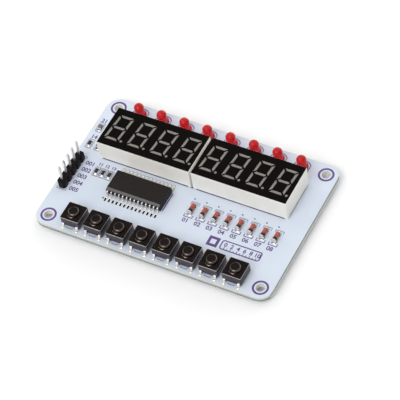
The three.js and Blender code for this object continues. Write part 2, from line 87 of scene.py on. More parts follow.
@dataclass(frozen=True)
class Extent:
    """The room that some CAD nodes take, in millimetres."""

    low: Vector
    high: Vector

    @classmethod
    def of(cls, *nodes: str) -> "Extent":
        """Reads the room that the named nodes take.

        Args:
            nodes: names of CAD nodes.

        Returns:
            The box round all of them.
        """
        boxes = [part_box(node) for node in nodes]
        low = Vector(min(box[0][axis] for box in boxes) for axis in range(3))
        high = Vector(max(box[1][axis] for box in boxes) for axis in range(3))
        return cls(low / MM, high / MM)

    @property
    def centre(self) -> Vector:
        """The middle of the box."""
        return (self.low + self.high) / 2

    @property
    def size(self) -> Vector:
        """The length of the box along each axis."""
        return self.high - self.low


@dataclass(frozen=True)
class Row:
    """Evenly spaced places on the board: the first place and the step to the next."""

    count: int
    first: Vector
    step: Vector

    @classmethod
    def of(cls, pattern: str, count: int, height: float) -> "Row":
        """Finds the row that numbered nodes stand in.

        Args:
            pattern: a node's name with {} in place of its number.
            count: how many nodes the row has.
            height: the height that its pieces are drawn from.

        Returns:
            The row, with its places at the middles of the nodes.
        """
        first = Extent.of(pattern.format(1)).centre
        last = Extent.of(pattern.format(count)).centre
        step = (last - first) / (count - 1)
        return cls(count, Vector((first.x, first.y, height)), Vector((step.x, step.y, 0.0)))

    def places(self) -> list[Vector]:
        """Every place of the row, in order."""
        return [self.first + self.step * i for i in range(self.count)]


def nodes_named(pattern: str, count: int) -> list[str]:
    """The names of numbered nodes, from 1 to count."""
    return [pattern.format(number) for number in range(1, count + 1)]


# Outlines, as lists of points


def circle(radius: float, sides: int, x: float = 0.0, y: float = 0.0) -> Loop:
    """A round outline with that many sides about a middle."""
    angles = [2 * math.pi * i / sides for i in range(sides)]
    return [(x + radius * math.cos(a), y + radius * math.sin(a)) for a in angles]


def rounded(
    width: float, depth: float, radius: float, steps: int, x: float = 0.0, y: float = 0.0
) -> Loop:
    """A rectangle with rounded corners.

    Args:
        width: its length along X.
        depth: its length along Y.
        radius: the radius of each corner.
        steps: how many pieces each corner is cut into.
        x: the X of its middle.
        y: the Y of its middle.

    Returns:
        The outline, anticlockwise.
    """
    points = []
    for quarter in range(4):
        middle = (quarter + 0.5) * math.pi / 2
        corner_x = x + math.copysign(width / 2 - radius, math.cos(middle))
        corner_y = y + math.copysign(depth / 2 - radius, math.sin(middle))
        for i in range(steps + 1):
            angle = (quarter + i / steps) * math.pi / 2
            points.append(
                (corner_x + radius * math.cos(angle), corner_y + radius * math.sin(angle))
            )
    return points


def rectangle(width: float, depth: float, x: float = 0.0, y: float = 0.0) -> Loop:
    """A plain rectangle about a middle."""
    half, deep = width / 2, depth / 2
    return [(x - half, y - deep), (x + half, y - deep), (x + half, y + deep), (x - half, y + deep)]


def shifted(loop: Loop, x: float, y: float) -> Loop:
    """The same outline, moved."""
    return [(px + x, py + y) for px, py in loop]


def line_outline(path: Sequence[tuple[float, float]], width: float) -> Loop:
    """The outline of a line of even width along a path that doesn't close.

    Args:
        path: the points that the middle of the line goes through.
        width: the width of the line.

    Returns:
        A closed outline, with its corners mitred.
    """
    points = [Vector(p) for p in path]
    left, right = [], []
    for i, point in enumerate(points):
        before = (point - points[i - 1]).normalized() if i else None
        after = (points[i + 1] - point).normalized() if i + 1 < len(points) else None
        along = ((before or after) + (after or before)).normalized()
        turn = along.dot(after or before)
        across = Vector((-along.y, along.x)) * (width / 2 / max(turn, 0.4))
        left.append(tuple(point + across))
        right.append(tuple(point - across))
    return right + left[::-1]


def bent_path(points: Sequence[tuple[float, float]], radius: float, steps: int) -> Loop:
    """A path whose inner corners are rounded.

    Args:
        points: the corners of the path.
        radius: the radius of each bend.
        steps: how many pieces each bend is cut into.

    Returns:
        The points of the rounded path.
    """
    corners = [Vector(p) for p in points]
    path = [tuple(corners[0])]
    for before, corner, after in zip(corners, corners[1:], corners[2:]):
        inwards = (before - corner).normalized()
        outwards = (after - corner).normalized()
        half = inwards.angle(outwards) / 2
        reach = radius / math.tan(half)
        middle = corner + (inwards + outwards).normalized() * (radius / math.sin(half))
        start = corner + inwards * reach - middle
        end = corner + outwards * reach - middle
        for i in range(steps + 1):
            share = i / steps
            spoke = start.lerp(end, share).normalized() * radius
            path.append(tuple(middle + spoke))
    path.append(tuple(corners[-1]))
    return path


# Meshes


def take_mesh(holder: bpy.types.Object) -> bpy.types.Mesh:
    """Turns an object, with its modifiers, into a plain mesh and removes the object."""
    bpy.context.view_layer.update()
    evaluated = holder.evaluated_get(bpy.context.evaluated_depsgraph_get())
    mesh = bpy.data.meshes.new_from_object(evaluated)
    source = holder.data
    bpy.data.objects.remove(holder)
    if isinstance(source, bpy.types.Mesh):
        bpy.data.meshes.remove(source)
    else:
        bpy.data.curves.remove(source)
    return mesh


def hold(data: bpy.types.ID) -> bpy.types.Object:
    """Puts data in an object of the scene for as long as its mesh is worked on."""
    holder = bpy.data.objects.new("work", data)
    bpy.context.scene.collection.objects.link(holder)
    return holder


def mesh_of(work: bmesh.types.BMesh, merge: float = MERGE) -> bpy.types.Mesh:
    """Merges doubled points, turns the faces outwards and returns the mesh."""
    bmesh.ops.remove_doubles(work, verts=work.verts, dist=merge)
    bmesh.ops.recalc_face_normals(work, faces=work.faces)
    mesh = bpy.data.meshes.new("piece")
    work.to_mesh(mesh)
    work.free()
    return mesh


def work_on(mesh: bpy.types.Mesh) -> bmesh.types.BMesh:
    """Opens a mesh for editing and removes it from the file."""
    work = bmesh.new()
    work.from_mesh(mesh)
    bpy.data.meshes.remove(mesh)
    return work


def joined(meshes: Sequence[bpy.types.Mesh]) -> bpy.types.Mesh:
    """Puts several meshes into one, each as it is."""
    work = bmesh.new()
    for mesh in meshes:
        work.from_mesh(mesh)
        bpy.data.meshes.remove(mesh)
    result = bpy.data.meshes.new("piece")
    work.to_mesh(result)
    work.free()
    return result


def moved(mesh: bpy.types.Mesh, place: Sequence[float]) -> bpy.types.Mesh:
    """Moves a mesh within its object."""
    mesh.transform(Matrix.Translation(Vector(place)))
    return mesh


def turned_round(mesh: bpy.types.Mesh, degrees: float, axis: str = "Z") -> bpy.types.Mesh:
    """Turns a mesh about an axis through zero."""
    mesh.transform(Matrix.Rotation(math.radians(degrees), 4, axis))
    return mesh


def both_ways(mesh: bpy.types.Mesh) -> bpy.types.Mesh:
    """A mesh and a copy of it given half a turn about Z, in one."""
    return joined([mesh, turned_round(mesh.copy(), 180)])


def carved(mesh: bpy.types.Mesh, tool: bpy.types.Mesh) -> bpy.types.Mesh:
    """Cuts one closed mesh out of another and uses up both."""
    holder, cutter = hold(mesh), hold(tool)
    cut = holder.modifiers.new("cut", "BOOLEAN")
    cut.operation = "DIFFERENCE"
    cut.object = cutter
    result = take_mesh(holder)
    bpy.data.objects.remove(cutter)
    return result


def plate(loops: Sequence[Loop], bottom: float, top: float) -> bpy.types.Mesh:
    """An upright solid over an outline.

    Args:
        loops: the outline, with any holes or further outlines that don't cross.
        bottom: the height of its lower face.
        top: the height of its upper face.

    Returns:
        A closed mesh.
    """
    curve = bpy.data.curves.new("outline", "CURVE")
    curve.dimensions = "2D"
    curve.fill_mode = "BOTH"
    for loop in loops:
        spline = curve.splines.new("POLY")
        spline.points.add(len(loop) - 1)
        for point, (x, y) in zip(spline.points, loop):
            point.co = (x, y, 0.0, 1.0)
        spline.use_cyclic_u = True
    curve.extrude = (top - bottom) / 2
    return moved(mesh_of(work_on(take_mesh(hold(curve)))), (0, 0, (top + bottom) / 2))


def lettering(
    text: str, size: float, bottom: float, top: float, bolder: float = 0.05
) -> bpy.types.Mesh:
    """Raised figures, centred on zero.

    Args:
        text: the figures.
        size: the size of the type.
        bottom: the height of the lower face.
        top: the height of the upper face.
        bolder: how far each stroke is widened on both sides.

    Returns:
        A closed mesh.
    """
    curve = bpy.data.curves.new("figures", "FONT")
    curve.body = text
    curve.size = size
    curve.align_x = "CENTER"
    curve.align_y = "CENTER"
    curve.resolution_u = 3
    curve.offset = bolder
    curve.extrude = (top - bottom) / 2
    return moved(mesh_of(work_on(take_mesh(hold(curve)))), (0, 0, (top + bottom) / 2))


def turned(profile: Sequence[tuple[float, float]], sides: int) -> bpy.types.Mesh:
    """A solid of revolution.

    Args:
        profile: pairs of radius and height, from one end to the other.
        sides: how many sides it has round the axis.

    Returns:
        A closed mesh, where a radius of zero closes an end.
    """
    work = bmesh.new()
    rings = []
    for radius, height in profile:
        if radius == 0:
            rings.append([work.verts.new((0, 0, height))])
        else:
            rings.append([work.verts.new((x, y, height)) for x, y in circle(radius, sides)])
    if profile[0][0] != 0:
        rings.append(rings[0])
    for lower, upper in zip(rings, rings[1:]):
        for i in range(sides):
            corners = []
            for vert in (
                lower[i % len(lower)],
                lower[(i + 1) % len(lower)],
                upper[(i + 1) % len(upper)],
                upper[i % len(upper)],
            ):
                if vert not in corners:
                    corners.append(vert)
            if len(corners) > 2:
                work.faces.new(corners)
    return mesh_of(work)


def swept_arc(
    section: Loop, radius: float, height: float, start: float, end: float, steps: int
) -> bpy.types.Mesh:
    """A bead along an arc about zero, which grows from nothing at both of its ends.

    Args:
        section: its section, as distances outwards and upwards, anticlockwise from its foot.
        radius: the radius of the arc.
        height: the height that it stands on.
        start: the angle in degrees where it starts.
        end: the angle in degrees where it ends.
        steps: how many pieces it is cut into.

    Returns:
        A closed mesh.
    """
    work = bmesh.new()
    rings = []
    for i in range(steps + 1):
        angle = math.radians(start + (end - start) * i / steps)
        share = max(math.sin(math.pi * i / steps), 0.02) ** 0.5
        ring = []
        for out, up in section:
            reach = radius + out * share
            rise = up * share if up > 0 else up
            x, y = reach * math.cos(angle), reach * math.sin(angle)
            ring.append(work.verts.new((x, y, height + rise)))
        rings.append(ring)
    for first, second in zip(rings, rings[1:]):
        for i, corner in enumerate(first):
            j = (i + 1) % len(first)
            work.faces.new((corner, first[j], second[j], second[i]))
    work.faces.new(rings[0])
    work.faces.new(rings[-1])
    return mesh_of(work)


def softened(
    mesh: bpy.types.Mesh,
    width: float,
    steps: int = 2,
    chosen: Optional[Callable[[Vector, Vector], bool]] = None,
) -> bpy.types.Mesh:
    """Rounds the sharp edges of a closed mesh.

    Args:
        mesh: the mesh, which is used up.
        width: the width of the rounding.
        steps: how many faces it is cut into.
        chosen: says by its two ends whether an edge is rounded; every sharp edge if left out.

    Returns:
        The rounded mesh.
    """
    work = work_on(mesh)
    bmesh.ops.remove_doubles(work, verts=work.verts, dist=MERGE)
    bmesh.ops.dissolve_limit(
        work, angle_limit=math.radians(0.5), verts=work.verts, edges=work.edges
    )
    sharp = [
        edge
        for edge in work.edges
        if edge.is_manifold
        and edge.calc_face_angle(0.0) > math.radians(30)
        and (chosen is None or chosen(edge.verts[0].co, edge.verts[1].co))
    ]
    bmesh.ops.bevel(
        work,
        geom=sharp,
        offset=width,
        segments=steps,
        profile=0.5,
        affect="EDGES",
        clamp_overlap=True,
    )
    return mesh_of(work, merge=0.0001)


def copy_of(node: str) -> bpy.types.Mesh:
    """A merged copy of a CAD node's mesh, in millimetres."""
    work = bmesh.new()
    work.from_mesh(bpy.data.objects[node].data)
    bmesh.ops.scale(work, vec=Vector((1, 1, 1)) / MM, verts=work.verts)
    return mesh_of(work)


def top_loops(node: str) -> list[Loop]:
    """The outlines of a CAD node's highest face, the longest one first.

    Args:
        node: the name of a CAD node with a flat top.

    Returns:
        Each outline once, whether it is an outer edge or the edge of a hole.
    """
    work = work_on(copy_of(node))
    top = max(vert.co.z for vert in work.verts)
    level = {v for v in work.verts if abs(v.co.z - top) < 0.001}
    flat = {f for f in work.faces if all(v in level for v in f.verts)}
    rim = [e for e in work.edges if sum(f in flat for f in e.link_faces) == 1]
    neighbours: dict[bmesh.types.BMVert, list[bmesh.types.BMVert]] = {}
    for edge in rim:
        a, b = edge.verts
        neighbours.setdefault(a, []).append(b)
        neighbours.setdefault(b, []).append(a)
    loops = []
    while neighbours:
        start = next(iter(neighbours))
        trail = [start]
        while True:
            onwards = [v for v in neighbours.pop(trail[-1]) if v in neighbours]
            if not onwards:
                break
            trail.append(onwards[0])
        loops.append([(v.co.x, v.co.y) for v in trail])
    work.free()
    return sorted(loops, key=perimeter, reverse=True)


def perimeter(loop: Loop) -> float:
    """The length of a closed outline."""
    return sum(math.dist(a, b) for a, b in zip(loop, loop[1:] + loop[:1]))


# Repeating with Geometry Nodes


class RowTree:
    """A Geometry Nodes tree that sets copies of a mesh along a straight row."""

    name = "row_of_copies"
    own_inputs: dict[str, str] = {}

    def __init__(self) -> None:
        """Builds the tree, with named inputs for the row."""
        self.tree = bpy.data.node_groups.new(self.name, "GeometryNodeTree")
        sockets = {
            "Geometry": "NodeSocketGeometry",
            "Count": "NodeSocketInt",
            "First place": "NodeSocketVector",
            "Step": "NodeSocketVector",
            "Finish": "NodeSocketMaterial",
            **self.own_inputs,
        }
        interface = self.tree.interface
        self.ids = {
            name: interface.new_socket(name=name, in_out="INPUT", socket_type=kind).identifier
            for name, kind in sockets.items()
        }
        interface.new_socket(
            name="Geometry", in_out="OUTPUT", socket_type="NodeSocketGeometry"
        )
        given = self.tree.nodes.new("NodeGroupInput")
        line = self.tree.nodes.new("GeometryNodeMeshLine")
        line.mode = "OFFSET"
        copies = self.tree.nodes.new("GeometryNodeInstanceOnPoints")
        real = self.tree.nodes.new("GeometryNodeRealizeInstances")
        dress_copies = self.tree.nodes.new("GeometryNodeSetMaterial")
        result = self.tree.nodes.new("NodeGroupOutput")
        link = self.tree.links.new
        link(given.outputs["Count"], line.inputs["Count"])
        link(given.outputs["First place"], line.inputs["Start Location"])
        link(given.outputs["Step"], line.inputs["Offset"])
        link(line.outputs["Mesh"], copies.inputs["Points"])
        link(given.outputs["Geometry"], copies.inputs["Instance"])
        self.shape_copies(given, copies)
        link(copies.outputs["Instances"], real.inputs["Geometry"])
        link(real.outputs["Geometry"], dress_copies.inputs["Geometry"])
        link(given.outputs["Finish"], dress_copies.inputs["Material"])
        link(dress_copies.outputs["Geometry"], result.inputs["Geometry"])

    def shape_copies(self, given: bpy.types.Node, copies: bpy.types.Node) -> None:
        """Leaves every copy as it was drawn, which another kind of row may change."""

    def copies(
        self,
        template: bpy.types.Mesh,
        row: Row,
        finish: "Finishes",
        own_values: Optional[dict[str, float]] = None,
    ) -> bpy.types.Mesh:
        """Sets copies of a mesh along a row.

        Args:
            template: the mesh to repeat, drawn about zero; it is used up.
            row: the places.
            finish: the finish that the copies take.
            own_values: the values of the inputs that only this kind of row has.

        Returns:
            One plain mesh with every copy.
        """
        holder = hold(template)
        modifier = holder.modifiers.new("row", "NODES")
        modifier.node_group = self.tree
        values = {
            "Count": row.count,
            "First place": tuple(row.first),
            "Step": tuple(row.step),
            "Finish": finish.material(),
            **(own_values or {}),
        }
        for name, value in values.items():
            modifier[self.ids[name]] = value
        return take_mesh(holder)


class ScaleTree(RowTree):
    """A row that sets the ticks of a measuring scale, every nth one longer."""

    name = "scale_ticks"
    own_inputs = {"Long every": "NodeSocketInt", "Long stretch": "NodeSocketFloat"}

    def shape_copies(self, given: bpy.types.Node, copies: bpy.types.Node) -> None:
        """Stretches a tick along Y where its number divides by the interval of long ticks."""
        index = self.tree.nodes.new("GeometryNodeInputIndex")
        remainder = self.tree.nodes.new("ShaderNodeMath")
        remainder.operation = "MODULO"
        is_long = self.tree.nodes.new("ShaderNodeMath")
        is_long.operation = "LESS_THAN"
        is_long.inputs[1].default_value = 0.5
        stretch = self.tree.nodes.new("ShaderNodeMath")
        stretch.operation = "MULTIPLY_ADD"
        stretch.inputs[2].default_value = 1.0
        shape = self.tree.nodes.new("ShaderNodeCombineXYZ")
        shape.inputs["X"].default_value = 1.0
        shape.inputs["Z"].default_value = 1.0
        link = self.tree.links.new
        link(index.outputs["Index"], remainder.inputs[0])
        link(given.outputs["Long every"], remainder.inputs[1])
        link(remainder.outputs["Value"], is_long.inputs[0])
        link(is_long.outputs["Value"], stretch.inputs[0])
        link(given.outputs["Long stretch"], stretch.inputs[1])
        link(stretch.outputs["Value"], shape.inputs["Y"])
        link(shape.outputs["Vector"], copies.inputs["Scale"])


# Finishes


def tint(red: int, green: int, blue: int) -> Colour:
    """The linear colour of an 8-bit screen colour."""

    def linear(value: int) -> float:
        """One channel, from screen to linear."""
        share = value / 255
        return share / 12.92 if share <= 0.04045 else ((share + 0.055) / 1.055) ** 2.4

    return (linear(red), linear(green), linear(blue))


class Shader:
    """A material's node tree round one surface shader, with patterns in the piece's own space.

    A mixing node has a pair of inputs and an output for each kind of value that it can mix.
    """

    number_inputs, number_output = (2, 3), 0
    colour_inputs, colour_output = (6, 7), 2

    def __init__(self, name: str) -> None:
        """Starts a material with a surface shader and the piece's own coordinates."""
        self.material = bpy.data.materials.new(name)
        self.material.use_nodes = True
        self.nodes = self.material.node_tree.nodes
        self.links = self.material.node_tree.links
        self.surface = self.nodes["Principled BSDF"]
        self.place = self.nodes.new("ShaderNodeTexCoord").outputs["Object"]

    def set(self, **values: float) -> None:
        """Sets plain values of the surface, with _ for each space in a socket's name."""
        for name, value in values.items():
            self.surface.inputs[name.replace("_", " ")].default_value = value

    def stretched(self, x: float, y: float, z: float) -> bpy.types.NodeSocket:
        """The piece's coordinates with each axis scaled, for patterns that run one way."""
        node = self.nodes.new("ShaderNodeMapping")
        node.inputs["Scale"].default_value = (x, y, z)
        self.links.new(self.place, node.inputs["Vector"])
        return node.outputs["Vector"]

    def noise(
        self, size: float, detail: float = 3.0, at: Optional[bpy.types.NodeSocket] = None
    ) -> bpy.types.NodeSocket:
        """A noise pattern.

        Args:
            size: the length of one patch, in millimetres.
            detail: how many finer layers it has.
            at: the coordinates that it follows, if not the piece's own.

        Returns:
            The noise, from 0 to 1.
        """
        node = self.nodes.new("ShaderNodeTexNoise")
        node.inputs["Scale"].default_value = 1 / (size * MM)
        node.inputs["Detail"].default_value = detail
        self.links.new(at or self.place, node.inputs["Vector"])
        return node.outputs[0]

    def cells(self, size: float) -> bpy.types.NodeSocket:
        """Distance to the nearest of scattered points that size apart, for specks and pits."""
        node = self.nodes.new("ShaderNodeTexVoronoi")
        node.inputs["Scale"].default_value = 1 / (size * MM)
        self.links.new(self.place, node.inputs["Vector"])
        return node.outputs["Distance"]

    def spread(
        self,
        value: bpy.types.NodeSocket,
        start: float,
        end: float,
        low: float = 0.3,
        high: float = 0.7,
    ) -> bpy.types.NodeSocket:
        """Spreads a pattern between two values.

        Args:
            value: the pattern.
            start: the result where the pattern is low.
            end: the result where the pattern is high.
            low: the pattern's value that gives start.
            high: the pattern's value that gives end.

        Returns:
            The pattern in the new range.
        """
        node = self.nodes.new("ShaderNodeMapRange")
        settings = {"From Min": low, "From Max": high, "To Min": start, "To Max": end}
        for name, number in settings.items():
            node.inputs[name].default_value = number
        self.links.new(value, node.inputs["Value"])
        return node.outputs["Result"]

    def along(self, axis: str, start: float, end: float) -> bpy.types.NodeSocket:
        """How far a point lies between two places on an axis, in millimetres, from 0 to 1."""
        parts = self.nodes.new("ShaderNodeSeparateXYZ")
        self.links.new(self.place, parts.inputs["Vector"])
        return self.spread(parts.outputs[axis], 0, 1, start * MM, end * MM)

    def feed(
        self, socket: bpy.types.NodeSocket, value: "float | Colour | bpy.types.NodeSocket"
    ) -> None:
        """Connects a pattern to a node's input, or sets a plain number or colour there."""
        if isinstance(value, bpy.types.NodeSocket):
            self.links.new(value, socket)
        elif isinstance(value, tuple):
            socket.default_value = (*value, 1.0)
        else:
            socket.default_value = value

    def mixed(
        self,
        share: bpy.types.NodeSocket,
        first: "float | bpy.types.NodeSocket",
        second: "float | bpy.types.NodeSocket",
    ) -> bpy.types.NodeSocket:
        """Mixes two numbers or patterns: the first where share is 0, the second where it is 1."""
        node = self.nodes.new("ShaderNodeMix")
        self.links.new(share, node.inputs[0])
        for index, value in zip(self.number_inputs, (first, second)):
            self.feed(node.inputs[index], value)
        return node.outputs[self.number_output]

    def blend(
        self,
        share: bpy.types.NodeSocket,
        first: "Colour | bpy.types.NodeSocket",
        second: "Colour | bpy.types.NodeSocket",
    ) -> bpy.types.NodeSocket:
        """Mixes two colours by a pattern.

        Args:
            share: 0 for the first colour and 1 for the second.
            first: a colour, or the output of another mix.
            second: a colour, or the output of another mix.

        Returns:
            The mixed colour.
        """
        node = self.nodes.new("ShaderNodeMix")
        node.data_type = "RGBA"
        self.links.new(share, node.inputs[0])
        for index, colour in zip(self.colour_inputs, (first, second)):
            self.feed(node.inputs[index], colour)
        return node.outputs[self.colour_output]

    def product(
        self, first: bpy.types.NodeSocket, second: bpy.types.NodeSocket
    ) -> bpy.types.NodeSocket:
        """Multiplies two patterns."""
        node = self.nodes.new("ShaderNodeMath")
        node.operation = "MULTIPLY"
        self.links.new(first, node.inputs[0])
        self.links.new(second, node.inputs[1])
        return node.outputs["Value"]

    def bump(self, height: bpy.types.NodeSocket, depth: float) -> None:
        """Raises the surface by a pattern, by up to depth in millimetres."""
        node = self.nodes.new("ShaderNodeBump")
        node.inputs["Distance"].default_value = depth * MM
        node.inputs["Strength"].default_value = 1.0
        self.links.new(height, node.inputs["Height"])
        self.links.new(node.outputs["Normal"], self.surface.inputs["Normal"])

    def drive(self, socket: str, source: bpy.types.NodeSocket) -> None:
        """Connects a pattern to a socket of the surface."""
        self.links.new(source, self.surface.inputs[socket])

    def driver_of(self, socket: str) -> bpy.types.NodeSocket:
        """The pattern that a socket of the surface is connected to."""
        return self.surface.inputs[socket].links[0].from_socket


@dataclass(frozen=True)
class Finish:
    """A finish that pieces take, and the slot of the record that it belongs to.

    The base finish is a moulded or coated surface: a colour with faint patches of a second one,
    a roughness that varies, and a fine grain.
    """

    name: str
    slot: str
    colour: Colour
    patches: Colour
    roughness: tuple[float, float] = (0.4, 0.5)
    patch_size: float = 3.0
    grain_size: float = 0.12
    grain_depth: float = 0.004
    specular: float = 0.5

    def material(self) -> bpy.types.Material:
        """The material of this finish, made once."""
        made = bpy.data.materials.get(self.name)
        if made is not None:
            return made
        shader = Shader(self.name)
        self.paint(shader)
        return shader.material

    def lay(
        self,
        shader: Shader,
        gloss_patch: float,
        patches: Optional[bpy.types.NodeSocket] = None,
        grain: Optional[bpy.types.NodeSocket] = None,
    ) -> None:
        """Lays what every finish has: two tones, a roughness that varies, and a grain.

        Args:
            shader: the material's tree.
            gloss_patch: the length over which the roughness varies, in millimetres.
            patches: where the second tone lies, if not in plain patches.
            grain: the pattern of the grain, if it isn't plain.
        """
        tone = shader.spread(patches or shader.noise(self.patch_size), 0, 1)
        shader.drive("Base Color", shader.blend(tone, self.colour, self.patches))
        shader.drive("Roughness", shader.spread(shader.noise(gloss_patch), *self.roughness))
        shader.bump(grain or shader.noise(self.grain_size, detail=2), self.grain_depth)

    def paint(self, shader: Shader) -> None:
        """Builds the patterns of the finish."""
        self.lay(shader, self.patch_size / 4)
        shader.set(Specular_IOR_Level=self.specular)


@dataclass(frozen=True)
class SolderMask(Finish):
    """Printed mask with an even sheen, faint waves of thickness and the odd speck of dust."""

    speck: Colour = tint(150, 152, 168)
    speck_spacing: float = 1.7
    speck_size: tuple[float, float] = (0.02, 0.05)
    gloss_patch: float = 1.5

    def paint(self, shader: Shader) -> None:
        """Builds the mask's broad tone, its orange peel and its specks."""
        self.lay(shader, self.gloss_patch)
        specks = shader.spread(shader.cells(self.speck_spacing), 1, 0, *self.speck_size)
        broad = shader.driver_of("Base Color")
        shader.drive("Base Color", shader.blend(specks, broad, self.speck))
        shader.set(Specular_IOR_Level=self.specular)


@dataclass(frozen=True)
class CutLaminate(Finish):
    """The routed edge of glass epoxy: thin layers of weave that run along the edge."""

    layer_stretch: tuple[float, float, float] = (1, 1, 14)
    mark_stretch: tuple[float, float, float] = (3, 3, 0.3)
    gloss_patch: float = 0.3

    def paint(self, shader: Shader) -> None:
        """Builds the layers, stretched along the board, and the tool's fine marks."""
        layers = shader.noise(self.patch_size, 4, shader.stretched(*self.layer_stretch))
        marks = shader.noise(self.grain_size, 2, shader.stretched(*self.mark_stretch))
        self.lay(shader, self.gloss_patch, layers, marks)
        shader.set(Specular_IOR_Level=self.specular)


@dataclass(frozen=True)
class RoutedEdge(CutLaminate):
    """The board's own edge, made darker low down along the front and high up at its right end.
    """

    darker_tone: Colour = tint(134, 136, 127)
    bottom: float = 1.3
    thickness: float = 1.6
    right_end: float = 37.9
    turn: float = 0.3

    def paint(self, shader: Shader) -> None:
        """Builds the layers and darkens them by height."""
        CutLaminate.paint(self, shader)
        layers = shader.driver_of("Base Color")
        share = shader.along("Z", self.bottom, self.bottom + self.thickness)
        right = shader.along("X", self.right_end - self.turn, self.right_end)
        low = shader.spread(share, 1, 0, 0.25, 0.8)
        high = shader.spread(share, 0, 1, 0.3, 0.75)
        darker_share = shader.mixed(right, low, high)
        shader.drive("Base Color", shader.blend(darker_share, layers, self.darker_tone))


@dataclass(frozen=True)
class ButtonWithHighlightRing(Finish):
    """A moulded button with a lighter, glossier, almost metallic ring on its bevel: a painted
    highlight.
    """

    # The ring's colour, metal and gloss are a painted highlight, not a finish of the button itself.
    highlight_ring: Colour = tint(100, 90, 85)
    highlight_metallic: float = 0.9
    highlight_roughness: float = 0.22
    bevel_low: float = 6.62
    bevel_high: float = 7.24
    fade_in: float = 0.12
    fade_out: float = 0.06

    def paint(self, shader: Shader) -> None:
        """Builds the moulding, and the painted highlight ring between the two heights of the bevel.
        """
        Finish.paint(self, shader)
        moulding, matt = shader.driver_of("Base Color"), shader.driver_of("Roughness")
        rising = shader.along("Z", self.bevel_low, self.bevel_low + self.fade_in)
        falling = shader.along("Z", self.bevel_high, self.bevel_high - self.fade_out)
        share = shader.product(rising, falling)
        shader.drive("Base Color", shader.blend(share, moulding, self.highlight_ring))
        shader.drive("Metallic", shader.spread(share, 0, self.highlight_metallic, 0, 1))
        shader.drive("Roughness", shader.mixed(share, matt, self.highlight_roughness))


@dataclass(frozen=True)
class PlatedMetal(Finish):
    """Tin plate or solder: bright metal with a soft ripple and dull patches."""

    def paint(self, shader: Shader) -> None:
        """Builds the dull patches and the ripple of the metal."""
        self.lay(shader, self.patch_size / 2, grain=shader.noise(self.grain_size, detail=3))
        shader.set(Metallic=1.0)


@dataclass(frozen=True)
class TintedEpoxy(Finish):
    """Diffused, tinted epoxy: light goes in and glows, and the surface shines."""

    transmission: float = 0.3
    glow: float = 0.35
    glow_radius: tuple[float, float, float] = (1.0, 0.25, 0.2)
    depth: float = 0.8
    ior: float = 1.5
    coat: float = 0.0

    def paint(self, shader: Shader) -> None:
        """Builds the cloudy colour, the glow and the gloss."""
        self.lay(shader, self.patch_size / 2)
        shader.set(Transmission_Weight=self.transmission, IOR=self.ior)
        shader.set(Subsurface_Weight=self.glow, Subsurface_Scale=self.depth * MM)
        shader.surface.inputs["Subsurface Radius"].default_value = self.glow_radius
        shader.set(Coat_Weight=self.coat, Coat_Roughness=0.03, Specular_IOR_Level=self.specular)


